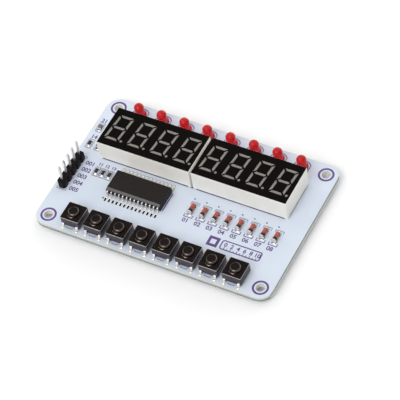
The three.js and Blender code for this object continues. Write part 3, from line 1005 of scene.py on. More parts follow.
class Finishes(Enum):
    """Every finish on the board."""

    MASK = SolderMask(
        "mask_pale_blue", "solder_mask", tint(202, 212, 225), tint(207, 216, 228),
        roughness=(0.3, 0.42), patch_size=9.0, grain_size=0.35,
    )
    EDGE = RoutedEdge(
        "laminate_edge", "board_edge", tint(217, 219, 213), tint(203, 206, 197),
        roughness=(0.55, 0.75), patch_size=2.2, grain_size=0.1, grain_depth=0.012,
    )
    PRINT = Finish(
        "purple_print", "screen_print", tint(84, 56, 118), tint(98, 68, 132),
        roughness=(0.45, 0.6), patch_size=0.8, grain_size=0.08, grain_depth=0.003,
    )
    TIN = PlatedMetal(
        "tin_plate", "tinned_metal", tint(240, 238, 237), tint(220, 217, 216),
        roughness=(0.22, 0.38), patch_size=1.2, grain_size=0.15,
    )
    SOLDER = PlatedMetal(
        "bright_solder", "solder", tint(212, 212, 214), tint(186, 186, 190),
        roughness=(0.14, 0.3), patch_size=0.7, grain_size=0.3, grain_depth=0.012,
    )
    PAD = Finish(
        "pad_matt_tin", "solder", tint(236, 234, 228), tint(220, 217, 210),
        roughness=(0.4, 0.55), patch_size=0.9, grain_size=0.12,
    )
    # Painted dark reflection: dark glossy solder at the ends of the chip's front pads.
    SOLDER_DARK_REFLECTION = PlatedMetal(
        "smooth_solder", "solder", tint(58, 52, 50), tint(40, 36, 35),
        roughness=(0.08, 0.16), patch_size=0.6, grain_size=0.3,
    )
    # Painted shadow: a darker rim round each back pad of the chip.
    PAD_SHADOW_RIM = Finish(
        "painted_shadow_round_pad", "solder_mask", tint(128, 118, 114), tint(108, 100, 98),
        roughness=(0.5, 0.65), patch_size=0.7, grain_size=0.1,
    )
    HEADER = Finish(
        "header_black", "header_plastic", tint(16, 11, 12), tint(23, 18, 20),
        roughness=(0.25, 0.4), patch_size=1.6, grain_size=0.1,
        specular=0.08,
    )
    CASE = Finish(
        "case_ivory", "display_case", tint(248, 246, 239), tint(242, 240, 232),
        roughness=(0.42, 0.55), patch_size=4.0, grain_size=0.14, grain_depth=0.006,
    )
    FACE = Finish(
        "face_black", "display_face", tint(7, 4, 3), tint(10, 6, 5),
        roughness=(0.28, 0.4), patch_size=2.5, grain_size=0.2, grain_depth=0.002,
        specular=0.05,
    )
    SEGMENT = Finish(
        "segment_frosted", "segment_epoxy", tint(133, 129, 122), tint(118, 114, 108),
        roughness=(0.4, 0.55), patch_size=0.9, grain_size=0.07, grain_depth=0.006,
    )
    CIRCUIT = CutLaminate(
        "bare_laminate", "display_circuit", tint(206, 200, 168), tint(188, 180, 144),
        roughness=(0.45, 0.6), patch_size=1.5, grain_size=0.2, grain_depth=0.006,
    )
    CHIP = Finish(
        "chip_epoxy", "chip_body", tint(22, 17, 15), tint(27, 22, 19),
        roughness=(0.34, 0.44), patch_size=1.1, grain_size=0.05, grain_depth=0.005,
        specular=0.22,
    )
    # Painted highlight: a strip lighter and glossier than the chip's moulding, laid over its front
    # bevel.
    CHIP_BEVEL_HIGHLIGHT = Finish(
        "chip_bevel_highlight_strip", "chip_body", tint(54, 50, 50), tint(62, 58, 58),
        roughness=(0.22, 0.3), patch_size=1.1, grain_size=0.08, grain_depth=0.003,
        specular=0.75,
    )
    KEY_BASE = Finish(
        "key_moulding", "key_body", tint(37, 29, 42), tint(47, 39, 52),
        roughness=(0.35, 0.5), patch_size=1.3, grain_size=0.08, grain_depth=0.006,
        specular=0.6,
    )
    KEY_PAINT = Finish(
        "key_cover_paint", "key_cover", tint(23, 14, 11), tint(17, 10, 8),
        roughness=(0.16, 0.28), patch_size=1.8, grain_size=0.1, grain_depth=0.003,
        specular=0.1,
    )
    # Painted highlight: a shiny crescent set only at the front of each key's opening.
    KEY_HIGHLIGHT_LIP = PlatedMetal(
        "key_cover_highlight_lip", "key_cover", tint(108, 98, 92), tint(84, 76, 70),
        roughness=(0.1, 0.18), patch_size=0.8, grain_size=0.08, grain_depth=0.003,
    )
    KEY_STEEL = PlatedMetal(
        "key_cover_steel", "key_cover", tint(200, 196, 190), tint(176, 170, 162),
        roughness=(0.25, 0.4), patch_size=0.8, grain_size=0.08,
    )
    KEY_BUTTON = ButtonWithHighlightRing(
        "key_button_black", "key_button", tint(15, 9, 7), tint(20, 13, 11),
        roughness=(0.3, 0.38), patch_size=0.9, grain_size=0.09, grain_depth=0.003,
        specular=0.12,
    )
    LENS = TintedEpoxy(
        "lens_red", "led_lens", tint(236, 0, 22), tint(220, 0, 16),
        roughness=(0.02, 0.04), patch_size=1.2, grain_size=0.5, grain_depth=0.0003,
        specular=0.24, transmission=0.5, glow=0.0,
    )
    GLASS = TintedEpoxy(
        "diode_orange", "diode_glass", tint(196, 90, 60), tint(168, 68, 46),
        roughness=(0.05, 0.12), patch_size=0.9, grain_size=0.3, grain_depth=0.002, coat=0.5,
        transmission=0.1, depth=0.3,
    )
    BAND = Finish(
        "diode_band_black", "diode_band", tint(18, 16, 16), tint(26, 23, 22),
        roughness=(0.3, 0.45), patch_size=0.4, grain_size=0.06, grain_depth=0.003,
    )
    CERAMIC = Finish(
        "resistor_ceramic", "resistor_body", tint(228, 226, 220), tint(212, 209, 202),
        roughness=(0.45, 0.6), patch_size=0.5, grain_size=0.06,
    )
    GLAZE = Finish(
        "resistor_glaze", "resistor_body", tint(26, 26, 29), tint(36, 36, 40),
        roughness=(0.22, 0.38), patch_size=0.5, grain_size=0.1, grain_depth=0.003,
    )
    CAPACITOR = Finish(
        "capacitor_ceramic", "capacitor_body", tint(112, 106, 96), tint(96, 91, 83),
        roughness=(0.4, 0.55), patch_size=0.5, grain_size=0.06, grain_depth=0.005,
    )

    def material(self) -> bpy.types.Material:
        """The material of this finish."""
        return self.value.material()

    @property
    def slot(self) -> str:
        """The record's slot that this finish belongs to."""
        return self.value.slot


# Putting a piece in the scene


def place(
    name: str,
    mesh: bpy.types.Mesh,
    finish: Finishes,
    stands_for: Sequence[str] = (),
    body: str = BOARD_BODY,
    smooth_below: float = SMOOTH_BELOW,
) -> None:
    """Finishes a piece: scales it to metres, dresses it and lets it ride on its body.

    Args:
        name: the piece's name.
        mesh: its mesh in millimetres, in place.
        finish: its finish.
        stands_for: the CAD nodes that it is shown in place of.
        body: the CAD body that it moves with.
        smooth_below: the angle in degrees up to which its faces shade into each other.
    """
    mesh.transform(Matrix.Scale(MM, 4))
    mesh.materials.clear()
    mesh.materials.append(finish.material())
    mesh.shade_smooth()
    mesh.set_sharp_from_angle(angle=math.radians(smooth_below))
    piece = bpy.data.objects.new(name, mesh)
    bpy.context.scene.collection.objects.link(piece)
    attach(piece, body)
    finish.slot
    if stands_for:
        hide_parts(*stands_for)
    LOG.info("%s: %d faces, %s", name, len(mesh.polygons), finish.value.name)


def place_row(
    tree: RowTree,
    row: Row,
    name: str,
    mesh: bpy.types.Mesh,
    finish: Finishes,
    stands_for: Sequence[str] = (),
    smooth_below: float = SMOOTH_BELOW,
) -> None:
    """Repeats a mesh along a row and places all the copies as one piece of the board.

    Args:
        tree: the tree that makes the copies.
        row: the places.
        name: the piece's name.
        mesh: one copy in millimetres, drawn about zero; it is used up.
        finish: its finish.
        stands_for: the CAD nodes that it is shown in place of.
        smooth_below: the angle in degrees up to which its faces shade into each other.
    """
    place(name, tree.copies(mesh, row, finish), finish, stands_for, smooth_below=smooth_below)


def dress(node: str, finish: Finishes) -> None:
    """Gives a CAD node that stays in view its finish."""
    for slot in bpy.data.objects[node].material_slots:
        slot.material = finish.material()
    LOG.info("%s: kept, %s", node, finish.value.name)


# Shapes that several parts share


@dataclass(frozen=True)
class BentLead:
    """A lead that leaves a moulding, bends down and ends in a foot on its pad."""

    width: float
    thickness: float
    root: float
    shoulder: float
    reach: float
    foot: float
    exit_height: float
    bend: float = 0.16

    def mesh(self) -> bpy.types.Mesh:
        """The lead, leaving a wall at zero towards -Y, with its foot on the height of zero."""
        half = self.thickness / 2
        foot_start = self.reach - self.foot
        corners = [
            (-self.root, self.exit_height),
            (self.shoulder, self.exit_height),
            (foot_start, half),
            (self.reach, half),
        ]
        path = bent_path(corners, self.bend, 4)
        side = line_outline(path, self.thickness)
        blade = plate([side], -self.width / 2, self.width / 2)
        blade.transform(Matrix(((0, 0, 1, 0), (-1, 0, 0, 0), (0, 1, 0, 0), (0, 0, 0, 1))))
        return softened(blade, self.thickness / 6, 1)


def solder_mound(width: float, length: float, height: float, skin: float = 0.03) -> bpy.types.Mesh:
    """A fillet of solder that runs down from a wall at zero towards -Y.

    Args:
        width: its width along X.
        length: how far it runs out.
        height: how high it climbs the wall.
        skin: its least thickness.

    Returns:
        A closed mesh that stands on the height of zero.
    """
    across, along = 6, 6
    work = bmesh.new()
    upper, lower = [], []
    for row in range(along + 1):
        share = row / along
        narrow = width / 2 * (1 - 0.25 * share * share)
        upper.append([])
        lower.append([])
        for column in range(across + 1):
            side = 2 * column / across - 1
            crown = 1 - side**4
            rise = skin + (height - skin) * (1 - share) ** 2 * (0.35 + 0.65 * crown)
            corner = 1 - 0.18 * side**4 * share
            spot = (side * narrow, -share * length * corner)
            upper[-1].append(work.verts.new((*spot, rise * max(crown, 0.2))))
            lower[-1].append(work.verts.new((*spot, 0.0)))
    for sheet in (upper, lower):
        for first, second in zip(sheet, sheet[1:]):
            for i in range(across):
                work.faces.new((first[i], first[i + 1], second[i + 1], second[i]))
    rim = [(r, 0) for r in range(along)] + [(along, c) for c in range(across)]
    rim += [(r, across) for r in range(along, 0, -1)] + [(0, c) for c in range(across, 0, -1)]
    for (r0, c0), (r1, c1) in zip(rim, rim[1:] + rim[:1]):
        work.faces.new((upper[r0][c0], upper[r1][c1], lower[r1][c1], lower[r0][c0]))
    return mesh_of(work, merge=0.00001)


def solder_cone(radius: float, tip: float, height: float) -> bpy.types.Mesh:
    """The joint round a lead under the board, hanging down from the height of zero."""
    steps = 5
    profile = [(0.0, 0.0), (radius, 0.0)]
    for i in range(1, steps + 1):
        share = i / steps
        profile.append((tip + (radius - tip) * (1 - share) ** 2.2, -height * share))
    profile.append((0.0, -height * 1.02))
    return turned(profile, 14)


# The sub-assemblies


@dataclass
class CircuitBoard:
    """The board: its laminate, the mask on both faces, and the pads of the lead holes."""

    mask: float = 0.02
    mask_inset: float = 0.1
    corner_radius: float = 4.0
    screw_hole: float = 1.35
    screw_clearance: float = 0.1
    screw_inset: Vector = field(default_factory=lambda: Vector((3.8, 3.6)))
    lead_pad: float = 0.28

    def __post_init__(self) -> None:
        """Reads the board's room and the places of its screw holes."""
        self.room = Extent.of("circuit_board")
        half = self.room.size / 2
        self.screws = [
            (sx * (half.x - self.screw_inset.x), sy * (half.y - self.screw_inset.y))
            for sx, sy in ((-1, -1), (1, -1), (1, 1), (-1, 1))
        ]
        self.outline = rounded(self.room.size.x, self.room.size.y, self.corner_radius, 14)

    def lead_holes(self) -> list[tuple[float, float, float]]:
        """The drilled holes: the X, Y and radius of each, read from the board's own mesh."""
        holes = []
        for loop in top_loops("circuit_board")[1:]:
            x = sum(p[0] for p in loop) / len(loop)
            y = sum(p[1] for p in loop) / len(loop)
            radius = max(math.dist((x, y), p) for p in loop)
            if radius < self.screw_hole * 0.9:
                holes.append((x, y, radius))
        return holes

    def build(self) -> None:
        """Builds every piece of the board."""
        bottom, top = self.room.low.z, self.room.high.z
        holes = self.lead_holes()
        bores = [circle(r, 16, x, y) for x, y, r in holes]
        drilled = [circle(self.screw_hole, 40, x, y) for x, y in self.screws]
        core = plate([self.outline, *drilled, *bores], bottom + self.mask, top - self.mask)
        place(
            "board_laminate", softened(core, 0.05, 1), Finishes.EDGE, ["circuit_board"],
            smooth_below=25,
        )
        inner = rounded(
            self.room.size.x - 2 * self.mask_inset,
            self.room.size.y - 2 * self.mask_inset,
            self.corner_radius - self.mask_inset,
            14,
        )
        rims = [circle(self.screw_hole + self.screw_clearance, 40, x, y) for x, y in self.screws]
        opened = [circle(r + self.lead_pad, 16, x, y) for x, y, r in holes]
        for name, low in (("mask_upper", top - self.mask), ("mask_lower", bottom)):
            place(name, plate([inner, *rims, *opened], low, low + self.mask), Finishes.MASK)
        outer, bore = self.screw_hole + 0.01, self.screw_hole - 0.02
        low, high = bottom + 0.06, top - 0.06
        linings = [
            plate([circle(outer, 40, x, y), circle(bore, 40, x, y)], low, high)
            for x, y in self.screws
        ]
        place("screw_hole_linings", joined(linings), Finishes.PAD)
        self.build_pads(holes)

    def build_pads(self, holes: Sequence[tuple[float, float, float]]) -> None:
        """Builds the tinned pads of the lead holes.

        Args:
            holes: the X, Y and radius of each lead hole.
        """
        skin, bottom, top = self.mask, self.room.low.z, self.room.high.z
        pads = []
        for x, y, radius in holes:
            for low, high in ((bottom, bottom + skin), (top - skin, top)):
                ring = [
                    (radius, low), (radius + self.lead_pad, low),
                    (radius + self.lead_pad, high), (radius, high),
                ]
                pads.append(moved(turned(ring, 16), (x, y, 0)))
        place("lead_hole_pads", joined(pads), Finishes.TIN)


@dataclass
class ScreenPrint:
    """Everything printed on the board in purple, with plain figures only."""

    rows: RowTree
    scales: ScaleTree
    board: CircuitBoard
    ink: float = 0.02
    fine: float = 0.16
    screw_ring: float = 2.42
    screw_ring_width: float = 0.62
    figure_size: float = 2.0

    def __post_init__(self) -> None:
        """Sets the heights that the ink lies between."""
        self.low = self.board.room.high.z
        self.high = self.low + self.ink

    def line(self, path: Loop, width: Optional[float] = None) -> bpy.types.Mesh:
        """A printed line along a path."""
        return plate([line_outline(path, width or self.fine)], self.low, self.high)

    def ring(self, radius: float, width: float, x: float = 0.0, y: float = 0.0) -> bpy.types.Mesh:
        """A printed ring whose outer radius is given."""
        loops = [circle(radius, 48, x, y), circle(radius - width, 48, x, y)]
        return plate(loops, self.low, self.high)

    def figures(self, text: str, size: float, x: float, y: float) -> bpy.types.Mesh:
        """Printed figures about a place."""
        return moved(lettering(text, size, self.low, self.high), (x, y, 0))

    def row(self, template: bpy.types.Mesh, pattern: str) -> bpy.types.Mesh:
        """Repeats a mark, drawn about zero, for every node of a row."""
        row = Row.of(pattern, ROW_COUNT, 0.0)
        return self.rows.copies(template, row, Finishes.PRINT)

    def screw_rings(self) -> bpy.types.Mesh:
        """The heavy ring round each screw hole."""
        rings = [
            self.ring(self.screw_ring, self.screw_ring_width, x, y) for x, y in self.board.screws
        ]
        return joined(rings)

    def header_marks(self) -> bpy.types.Mesh:
        """A number beside each header pin, and the outline at the header's ends."""
        body = Extent.of("header_insulator")
        label, gap, arm, pins = Vector((2.3, -0.35)), 0.28, 0.7, 5
        marks = []
        for number in range(1, pins + 1):
            pin = Extent.of(f"header_pin_{number}").centre
            x, y = body.high.x + label.x, pin.y + label.y
            marks.append(self.figures(f"{pins + 1 - number:03d}", self.figure_size, x, y))
        for side in (-1, 1):
            y = body.centre.y + side * (body.size.y / 2 + gap)
            inner = y - side * arm
            path = [
                (body.low.x - gap, inner), (body.low.x - gap, y),
                (body.high.x + gap, y), (body.high.x + gap, inner),
            ]
            marks.append(self.line(path))
        return joined(marks)

    def diode_marks(self) -> bpy.types.Mesh:
        """The brackets at both ends of each diode, its polarity tick and its number."""
        half = Extent.of("diode_1").size / 2
        wide, deep, arm = half.x + 0.55, half.y + 1.0, 0.95
        ends = []
        for side, width in ((-1, 0.24), (1, 0.14)):
            inner = side * (deep - arm)
            path = [(-wide, inner), (-wide, side * deep), (wide, side * deep), (wide, inner)]
            ends.append(self.line(path, width))
        ends.append(plate([rectangle(0.5, 0.4, -1.0, deep + 1.1)], self.low, self.high))
        marks = [self.row(joined(ends), "diode_{}")]
        for number in range(1, ROW_COUNT + 1):
            spot = Extent.of(f"diode_{number}").centre
            marks.append(
                self.figures(f"{number:02d}", self.figure_size, spot.x - 0.15, spot.y - 4.05)
            )
        return joined(marks)

    def led_marks(self) -> bpy.types.Mesh:
        """The ring round each LED, with a flat on the side of its short lead."""
        radius, flat, inside, steps = 2.8, 0.8, 0.9, 40
        start = math.acos(flat)
        turn = 2 * (math.pi - start)
        angles = [start + turn * i / steps for i in range(steps + 1)]
        arc = [(radius * math.cos(a), radius * math.sin(a)) for a in angles]
        inner = [(x * inside, y * inside) for x, y in arc]
        return self.row(plate([arc, inner], self.low, self.high), "led_{}")

    def key_marks(self) -> bpy.types.Mesh:
        """A short bracket between the leads of each key, in front and behind."""
        half = Extent.of("key_1_base").size / 2
        y, arm, left, right, slant = half.y - 0.5, 0.3, -1.0, 0.7, 0.2
        lines = []
        for side in (-1, 1):
            inner = side * (y - arm)
            outer = side * y
            path = [(left - slant, inner), (left, outer), (right, outer), (right + slant, inner)]
            lines.append(self.line(path, 0.2))
        return self.row(joined(lines), "key_{}_base")

    def chip_marks(self) -> bpy.types.Mesh:
        """The bars at both ends of the chip and the dot beside its first lead."""
        chip = Extent.of("driver_chip")
        deep = chip.size.y / 2 - 1.7
        bars = []
        for side in (-1, 1):
            x = chip.centre.x + side * (chip.size.x / 2 + 0.3)
            bars.append(self.line([(x, chip.centre.y - deep), (x, chip.centre.y + deep)], 0.3))
        dot = [circle(0.3, 16, chip.low.x - 0.2, chip.low.y - 0.4)]
        bars.append(plate(dot, self.low, self.high))
        return joined(bars)

    def display_lines(self) -> bpy.types.Mesh:
        """The printed line along the front and the back of both displays."""
        cases = Extent.of("display_left_case", "display_right_case")
        beyond, under, clear = 0.06, 0.4, 0.6
        lines = []
        for side in (-1, 1):
            y = cases.centre.y + side * (cases.size.y / 2 + (beyond - under) / 2)
            shape = rectangle(cases.size.x - 2 * clear, beyond + under, cases.centre.x, y)
            lines.append(plate([shape], self.low, self.high))
        return joined(lines)

    def small_part_marks(self) -> bpy.types.Mesh:
        """The frames round the chip resistors and capacitors, and their numbers."""
        names = nodes_named("resistor_{}", 4) + nodes_named("capacitor_{}", 2)
        marks = []
        for name in names:
            part = Extent.of(name)
            wide, deep = part.size.x / 2 + 0.42, part.size.y / 2 + 0.75
            x, y = part.centre.x, part.centre.y
            loops = [
                rounded(2 * wide, 2 * deep, 0.25, 3, x, y),
                rounded(2 * wide - 0.22, 2 * deep - 0.22, 0.15, 3, x, y),
            ]
            marks.append(plate(loops, self.low, self.high))
        for number in range(1, 4):
            part = Extent.of(f"resistor_{number}")
            marks.append(self.figures(f"1{number}", 1.5, part.centre.x, part.high.y + 1.75))
        beside = {"capacitor_1": "21", "resistor_4": "14"}
        for name, number in beside.items():
            part = Extent.of(name)
            marks.append(self.figures(number, 2.0, part.centre.x, part.high.y + 1.7))
        return joined(marks)

    def scale(self) -> bpy.types.Mesh:
        """A plain millimetre scale in a frame, before the diodes, and an open square beside it."""
        length, left, base = 10, 18.6, -13.4
        frame, square = Vector((23.45, -12.1)), Vector((14.7, -12.1))
        wide, deep, thick = 12.7, 3.38, 0.36
        tick = plate([rectangle(0.2, 0.34, 0, 0.17)], self.low, self.high)
        start = Vector((left, base, 0))
        row = Row(length + 1, start, Vector((1, 0, 0)))
        long_ticks = {"Long every": 2, "Long stretch": 0.9}
        ticks = self.scales.copies(tick, row, Finishes.PRINT, long_ticks)
        border = [
            rounded(wide, deep, 0.8, 6, *frame),
            rounded(wide - 2 * thick, deep - 2 * thick, 0.5, 6, *frame),
        ]
        block = [rectangle(deep, deep, *square), rectangle(deep - 1.7, deep - 1.7, *square)]
        marks = [ticks, plate(border, self.low, self.high), plate(block, self.low, self.high)]
        for value in range(0, length + 1, 2):
            marks.append(self.figures(str(value), 1.9, left + value, base + 1.45))
        return joined(marks)

    def build(self) -> None:
        """Prints every mark on the board."""
        prints = {
            "print_screw_rings": self.screw_rings,
            "print_header": self.header_marks,
            "print_diodes": self.diode_marks,
            "print_leds": self.led_marks,
            "print_keys": self.key_marks,
            "print_chip": self.chip_marks,
            "print_displays": self.display_lines,
            "print_small_parts": self.small_part_marks,
            "print_scale": self.scale,
        }
        for name, draw in prints.items():
            place(name, draw(), Finishes.PRINT)


@dataclass
class PinHeader:
    """Five square pins pressed through a moulding of chamfered units."""

    rows: RowTree
    count: int = 5
    chamfer: float = 0.5
    slip: float = 0.03
    pin_side: float = 0.64
    taper: float = 0.7
    tip_share: float = 0.45

    def __post_init__(self) -> None:
        """Reads the room of the moulding and the row of the pins."""
        self.body = Extent.of("header_insulator")
        self.pins = Extent.of(*nodes_named("header_pin_{}", self.count))
        self.row = Row.of("header_pin_{}", self.count, 0.0)

    def insulator(self) -> bpy.types.Mesh:
        """The moulding, notched between its units and open where the pins pass."""
        pitch = self.body.size.y / self.count
        half = self.body.size.x / 2
        right = []
        for i in range(self.count):
            low = self.body.low.y + i * pitch
            right += [
                (half - self.chamfer, low),
                (half, low + self.chamfer),
                (half, low + pitch - self.chamfer),
            ]
        right.append((half - self.chamfer, self.body.high.y))
        mirrored = [(-x, y) for x, y in reversed(right)]
        outline = shifted(right + mirrored, self.body.centre.x, 0)
        openings = [
            rectangle(self.pin_side + 2 * self.slip, self.pin_side + 2 * self.slip, p.x, p.y)
            for p in self.row.places()
        ]
        block = plate([outline, *openings], self.body.low.z, self.body.high.z)
        return softened(block, 0.07, 2)

    def pin(self) -> bpy.types.Mesh:
        """One pin, from its trimmed tail to its pointed top."""
        low, high = self.pins.low.z, self.pins.high.z
        reach = self.pin_side / math.sqrt(2)
        tip = reach * self.tip_share
        profile = [
            (0, low), (tip, low), (reach, low + self.taper),
            (reach, high - self.taper), (tip, high), (0, high),
        ]
        return softened(turned_round(turned(profile, 4), 45), 0.05, 2)

    def build(self) -> None:
        """Builds the moulding and the pins."""
        place("header_moulding", self.insulator(), Finishes.HEADER, ["header_insulator"])
        nodes = nodes_named("header_pin_{}", self.count)
        place_row(self.rows, self.row, "header_pins", self.pin(), Finishes.TIN, nodes)


@dataclass
class NumericDisplay:
    """One four-figure display: its case, black face, frosted segments and pins."""

    side: str
    face_inset: float = 0.05
    face_radius: float = 0.1
    face: float = 0.03
    edge: float = 0.05
    slot_height: float = 0.4
    # The strips under the end walls are painted shadow, standing in for the dark slot beneath the
    # case.
    shadow_strip_inset: float = 0.06
    shadow_strip_end: float = 1.9

    def slot_shadow_strips(self, room: Extent) -> bpy.types.Mesh:
        """Dark strips in the slot under both end walls of the case: painted shadow."""
        thick = 0.2
        dark_strips = []
        for side in (-1, 1):
            x = room.centre.x + side * (room.size.x / 2 - self.shadow_strip_inset - thick / 2)
            shape = rectangle(thick, room.size.y - 2 * self.shadow_strip_end, x, room.centre.y)
            dark_strips.append(plate([shape], room.low.z, room.low.z + self.slot_height))
        return joined(dark_strips)

    def build(self) -> None:
        """Builds the case and its face, and keeps the epoxy and the circuit of the frame."""
        node = f"display_{self.side}_case"
        room = Extent.of(node)

        def is_outer(a: Vector, b: Vector) -> bool:
            """Whether an edge lies on the outside of the case, above its feet."""
            middle = (a + b) / 2
            at_side = max(
                abs(middle.x - room.centre.x) - room.size.x / 2,
                abs(middle.y - room.centre.y) - room.size.y / 2,
            )
            is_upright = abs((a - b).normalized().z) > 0.9
            on_top = all(abs(end.z - room.high.z) < LEVEL for end in (a, b))
            corner = (
                abs(abs(middle.x - room.centre.x) - room.size.x / 2) < LEVEL
                and abs(abs(middle.y - room.centre.y) - room.size.y / 2) < LEVEL
            )
            return at_side > -LEVEL and (on_top or (is_upright and corner))

        shell = softened(copy_of(node), self.edge, 3, is_outer)
        place(f"display_{self.side}_shell", shell, Finishes.CASE, [node])
        windows = top_loops(node)[1:]
        inset = 2 * self.face_inset
        outline = rounded(
            room.size.x - inset, room.size.y - inset, self.face_radius, 4,
            room.centre.x, room.centre.y,
        )
        film = plate([outline, *windows], room.high.z, room.high.z + self.face)
        place(f"display_{self.side}_face", film, Finishes.FACE)
        # Dark strips in the slot under the end walls: painted shadow.
        place(f"display_{self.side}_slot_shadow_strips", self.slot_shadow_strips(room), Finishes.FACE)
        dress(f"display_{self.side}_light_pipes", Finishes.SEGMENT)
        dress(f"display_{self.side}_circuit", Finishes.CIRCUIT)


@dataclass
class DriverChip:
    """The driver: a moulded body with a bevelled front edge and a row of leads on each side."""

    rows: RowTree
    board_top: float
    leads: int = 14
    pitch: float = 1.27
    reach: float = 1.4
    stand_off: float = 0.15
    parting: float = 1.45
    draft: float = 0.2
    undercut: float = 0.05
    bevel: float = 0.65
    bevel_foot: float = 0.08
    mark_inset: float = 1.5
    pad_reach: float = 6.55
    back_pad_reach: float = 6.15
    pad_width: float = 0.76
    lead_width: float = 0.38
    lead_thickness: float = 0.22

    def __post_init__(self) -> None:
        """Reads the chip's room."""
        self.room = Extent.of("driver_chip")
        self.length = self.room.size.x
        self.width = self.room.size.y - 2 * self.reach
        self.top = self.room.high.z

    def ring_at(
        self, height: float, inset: float, front: Optional[float] = None
    ) -> list[tuple[float, float, float]]:
        """The corners of the body at a height.

        Args:
            height: the height.
            inset: how far it is drawn in from its widest outline.
            front: how far its front is drawn in, if that differs.

        Returns:
            Its four corners, anticlockwise.
        """
        x, y = self.length / 2 - inset, self.width / 2 - inset
        near = self.width / 2 - (inset if front is None else front)
        return [(-x, -near, height), (x, -near, height), (x, y, height), (-x, y, height)]

    def body(self) -> bpy.types.Mesh:
        """The moulded body, drafted from its parting line, with its mark for the first lead."""
        low = self.board_top + self.stand_off
        rings = [
            self.ring_at(low, self.undercut),
            self.ring_at(low + self.parting, 0.0),
            self.ring_at(self.top - self.bevel, self.bevel_foot),
            self.ring_at(self.top, self.draft, self.bevel_foot + self.bevel),
        ]
        work = bmesh.new()
        levels = [[work.verts.new(corner) for corner in ring] for ring in rings]
        for lower, upper in zip(levels, levels[1:]):
            for i in range(4):
                j = (i + 1) % 4
                work.faces.new((lower[i], lower[j], upper[j], upper[i]))
        work.faces.new(levels[0][::-1])
        work.faces.new(levels[-1])
        body = softened(mesh_of(work), 0.05, 2)
        bowl = [(0, -0.12), (0.35, -0.11), (0.52, -0.06), (0.6, 0.0), (0.6, 0.3), (0, 0.3)]
        x = self.mark_inset - self.length / 2
        y = self.mark_inset - self.width / 2 + 0.2
        return carved(body, moved(turned(bowl, 28), (x, y, self.top)))

    def bevel_highlight_strip(self) -> bpy.types.Mesh:
        """A thin strip over the bevel of the front edge, lighter and glossier than the body: a
        painted highlight.
        """
        skin, margin = 0.012, 0.08
        half = self.length / 2 - self.draft - margin
        front = -self.width / 2 + self.bevel_foot
        work = bmesh.new()
        corners = []
        for share in (0.06, 0.94):
            y = front + self.bevel * share
            z = self.top - self.bevel * (1 - share)
            corners.append([work.verts.new((x, y, z)) for x in (-half, half)])
            corners.append([work.verts.new((x, y - skin, z + skin)) for x in (-half, half)])
        low, low_out, high, high_out = corners
        for loop in (
            (low_out[0], low_out[1], high_out[1], high_out[0]),
            (low[1], low[0], high[0], high[1]),
            (low[0], low[1], low_out[1], low_out[0]),
            (high[1], high[0], high_out[0], high_out[1]),
            (low[0], low_out[0], high_out[0], high[0]),
            (low_out[1], low[1], high[1], high_out[1]),
        ):
            work.faces.new(loop)
        return mesh_of(work)

    def lead_pair(self) -> bpy.types.Mesh:
        """One lead of each side, about the chip's middle line."""
        lead = BentLead(
            width=self.lead_width, thickness=self.lead_thickness, root=0.3, shoulder=0.35,
            reach=self.reach, foot=0.7, exit_height=self.stand_off + self.parting, bend=0.18,
        )
        return both_ways(moved(lead.mesh(), (0, -self.width / 2, 0)))

    def solder_pair(self) -> bpy.types.Mesh:
        """The solder at the toes and heels of one pair of leads."""
        toe = self.width / 2 + self.reach
        width, length = 0.5, 0.3
        mound = moved(solder_mound(width, length, height=0.2), (0, 0.02 - toe, 0.0))
        heel = turned_round(solder_mound(width, length, height=0.16), 180)
        return both_ways(joined([mound, moved(heel, (0, 0.72 - toe, 0.0))]))

    def pad_pair(self) -> bpy.types.Mesh:
        """The pads of one pair of leads, which reach out beyond the toes."""
        heel = self.width / 2 + 0.25
        pads = []
        for side, reach in ((-1, self.pad_reach), (1, self.back_pad_reach)):
            length = reach - heel
            outline = rounded(self.pad_width, length, 0.25, 4, 0, side * (heel + length / 2))
            pads.append(plate([outline], 0.0, 0.025))
        return joined(pads)

    def pad_shadow_rim(self) -> bpy.types.Mesh:
        """A darker rim round one back pad: painted shadow."""
        heel = self.width / 2 + 0.25
        length = self.back_pad_reach - heel + 0.16
        outline = rounded(self.pad_width + 0.2, length, 0.3, 4, 0, heel + length / 2)
        return plate([outline], 0.0, 0.008)

    def pad_end_dark_reflection(self) -> bpy.types.Mesh:
        """Dark glossy solder at the end of one front pad: a painted dark reflection."""
        length = self.pad_reach - self.width / 2 - self.reach - 0.2
        outline = rounded(0.56, length, 0.24, 5, 0, -self.pad_reach + 0.06 + length / 2)
        return softened(plate([outline], 0.02, 0.09), 0.03, 2)

    def build(self) -> None:
        """Builds the body, the leads and their solder."""
        middle = self.room.centre
        body = moved(self.body(), (middle.x, middle.y, 0))
        place("chip_moulding", body, Finishes.CHIP, ["driver_chip"], smooth_below=20)
        # The strip over the front bevel is a painted highlight.
        strip = moved(self.bevel_highlight_strip(), (middle.x, middle.y, 0))
        place("chip_bevel_highlight_strip", strip, Finishes.CHIP_BEVEL_HIGHLIGHT)
        first = Vector((middle.x - (self.leads - 1) * self.pitch / 2, middle.y, self.board_top))
        row = Row(self.leads, first, Vector((self.pitch, 0, 0)))
        for name, mesh, finish in (
            ("chip_leads", self.lead_pair(), Finishes.TIN),
            ("chip_solder", self.solder_pair(), Finishes.SOLDER),
            ("chip_pads", self.pad_pair(), Finishes.PAD),
            ("chip_pad_shadow_rims", self.pad_shadow_rim(), Finishes.PAD_SHADOW_RIM),
            ("chip_pad_end_dark_reflections", self.pad_end_dark_reflection(), Finishes.SOLDER_DARK_REFLECTION),
        ):
            place_row(self.rows, row, name, mesh, finish)


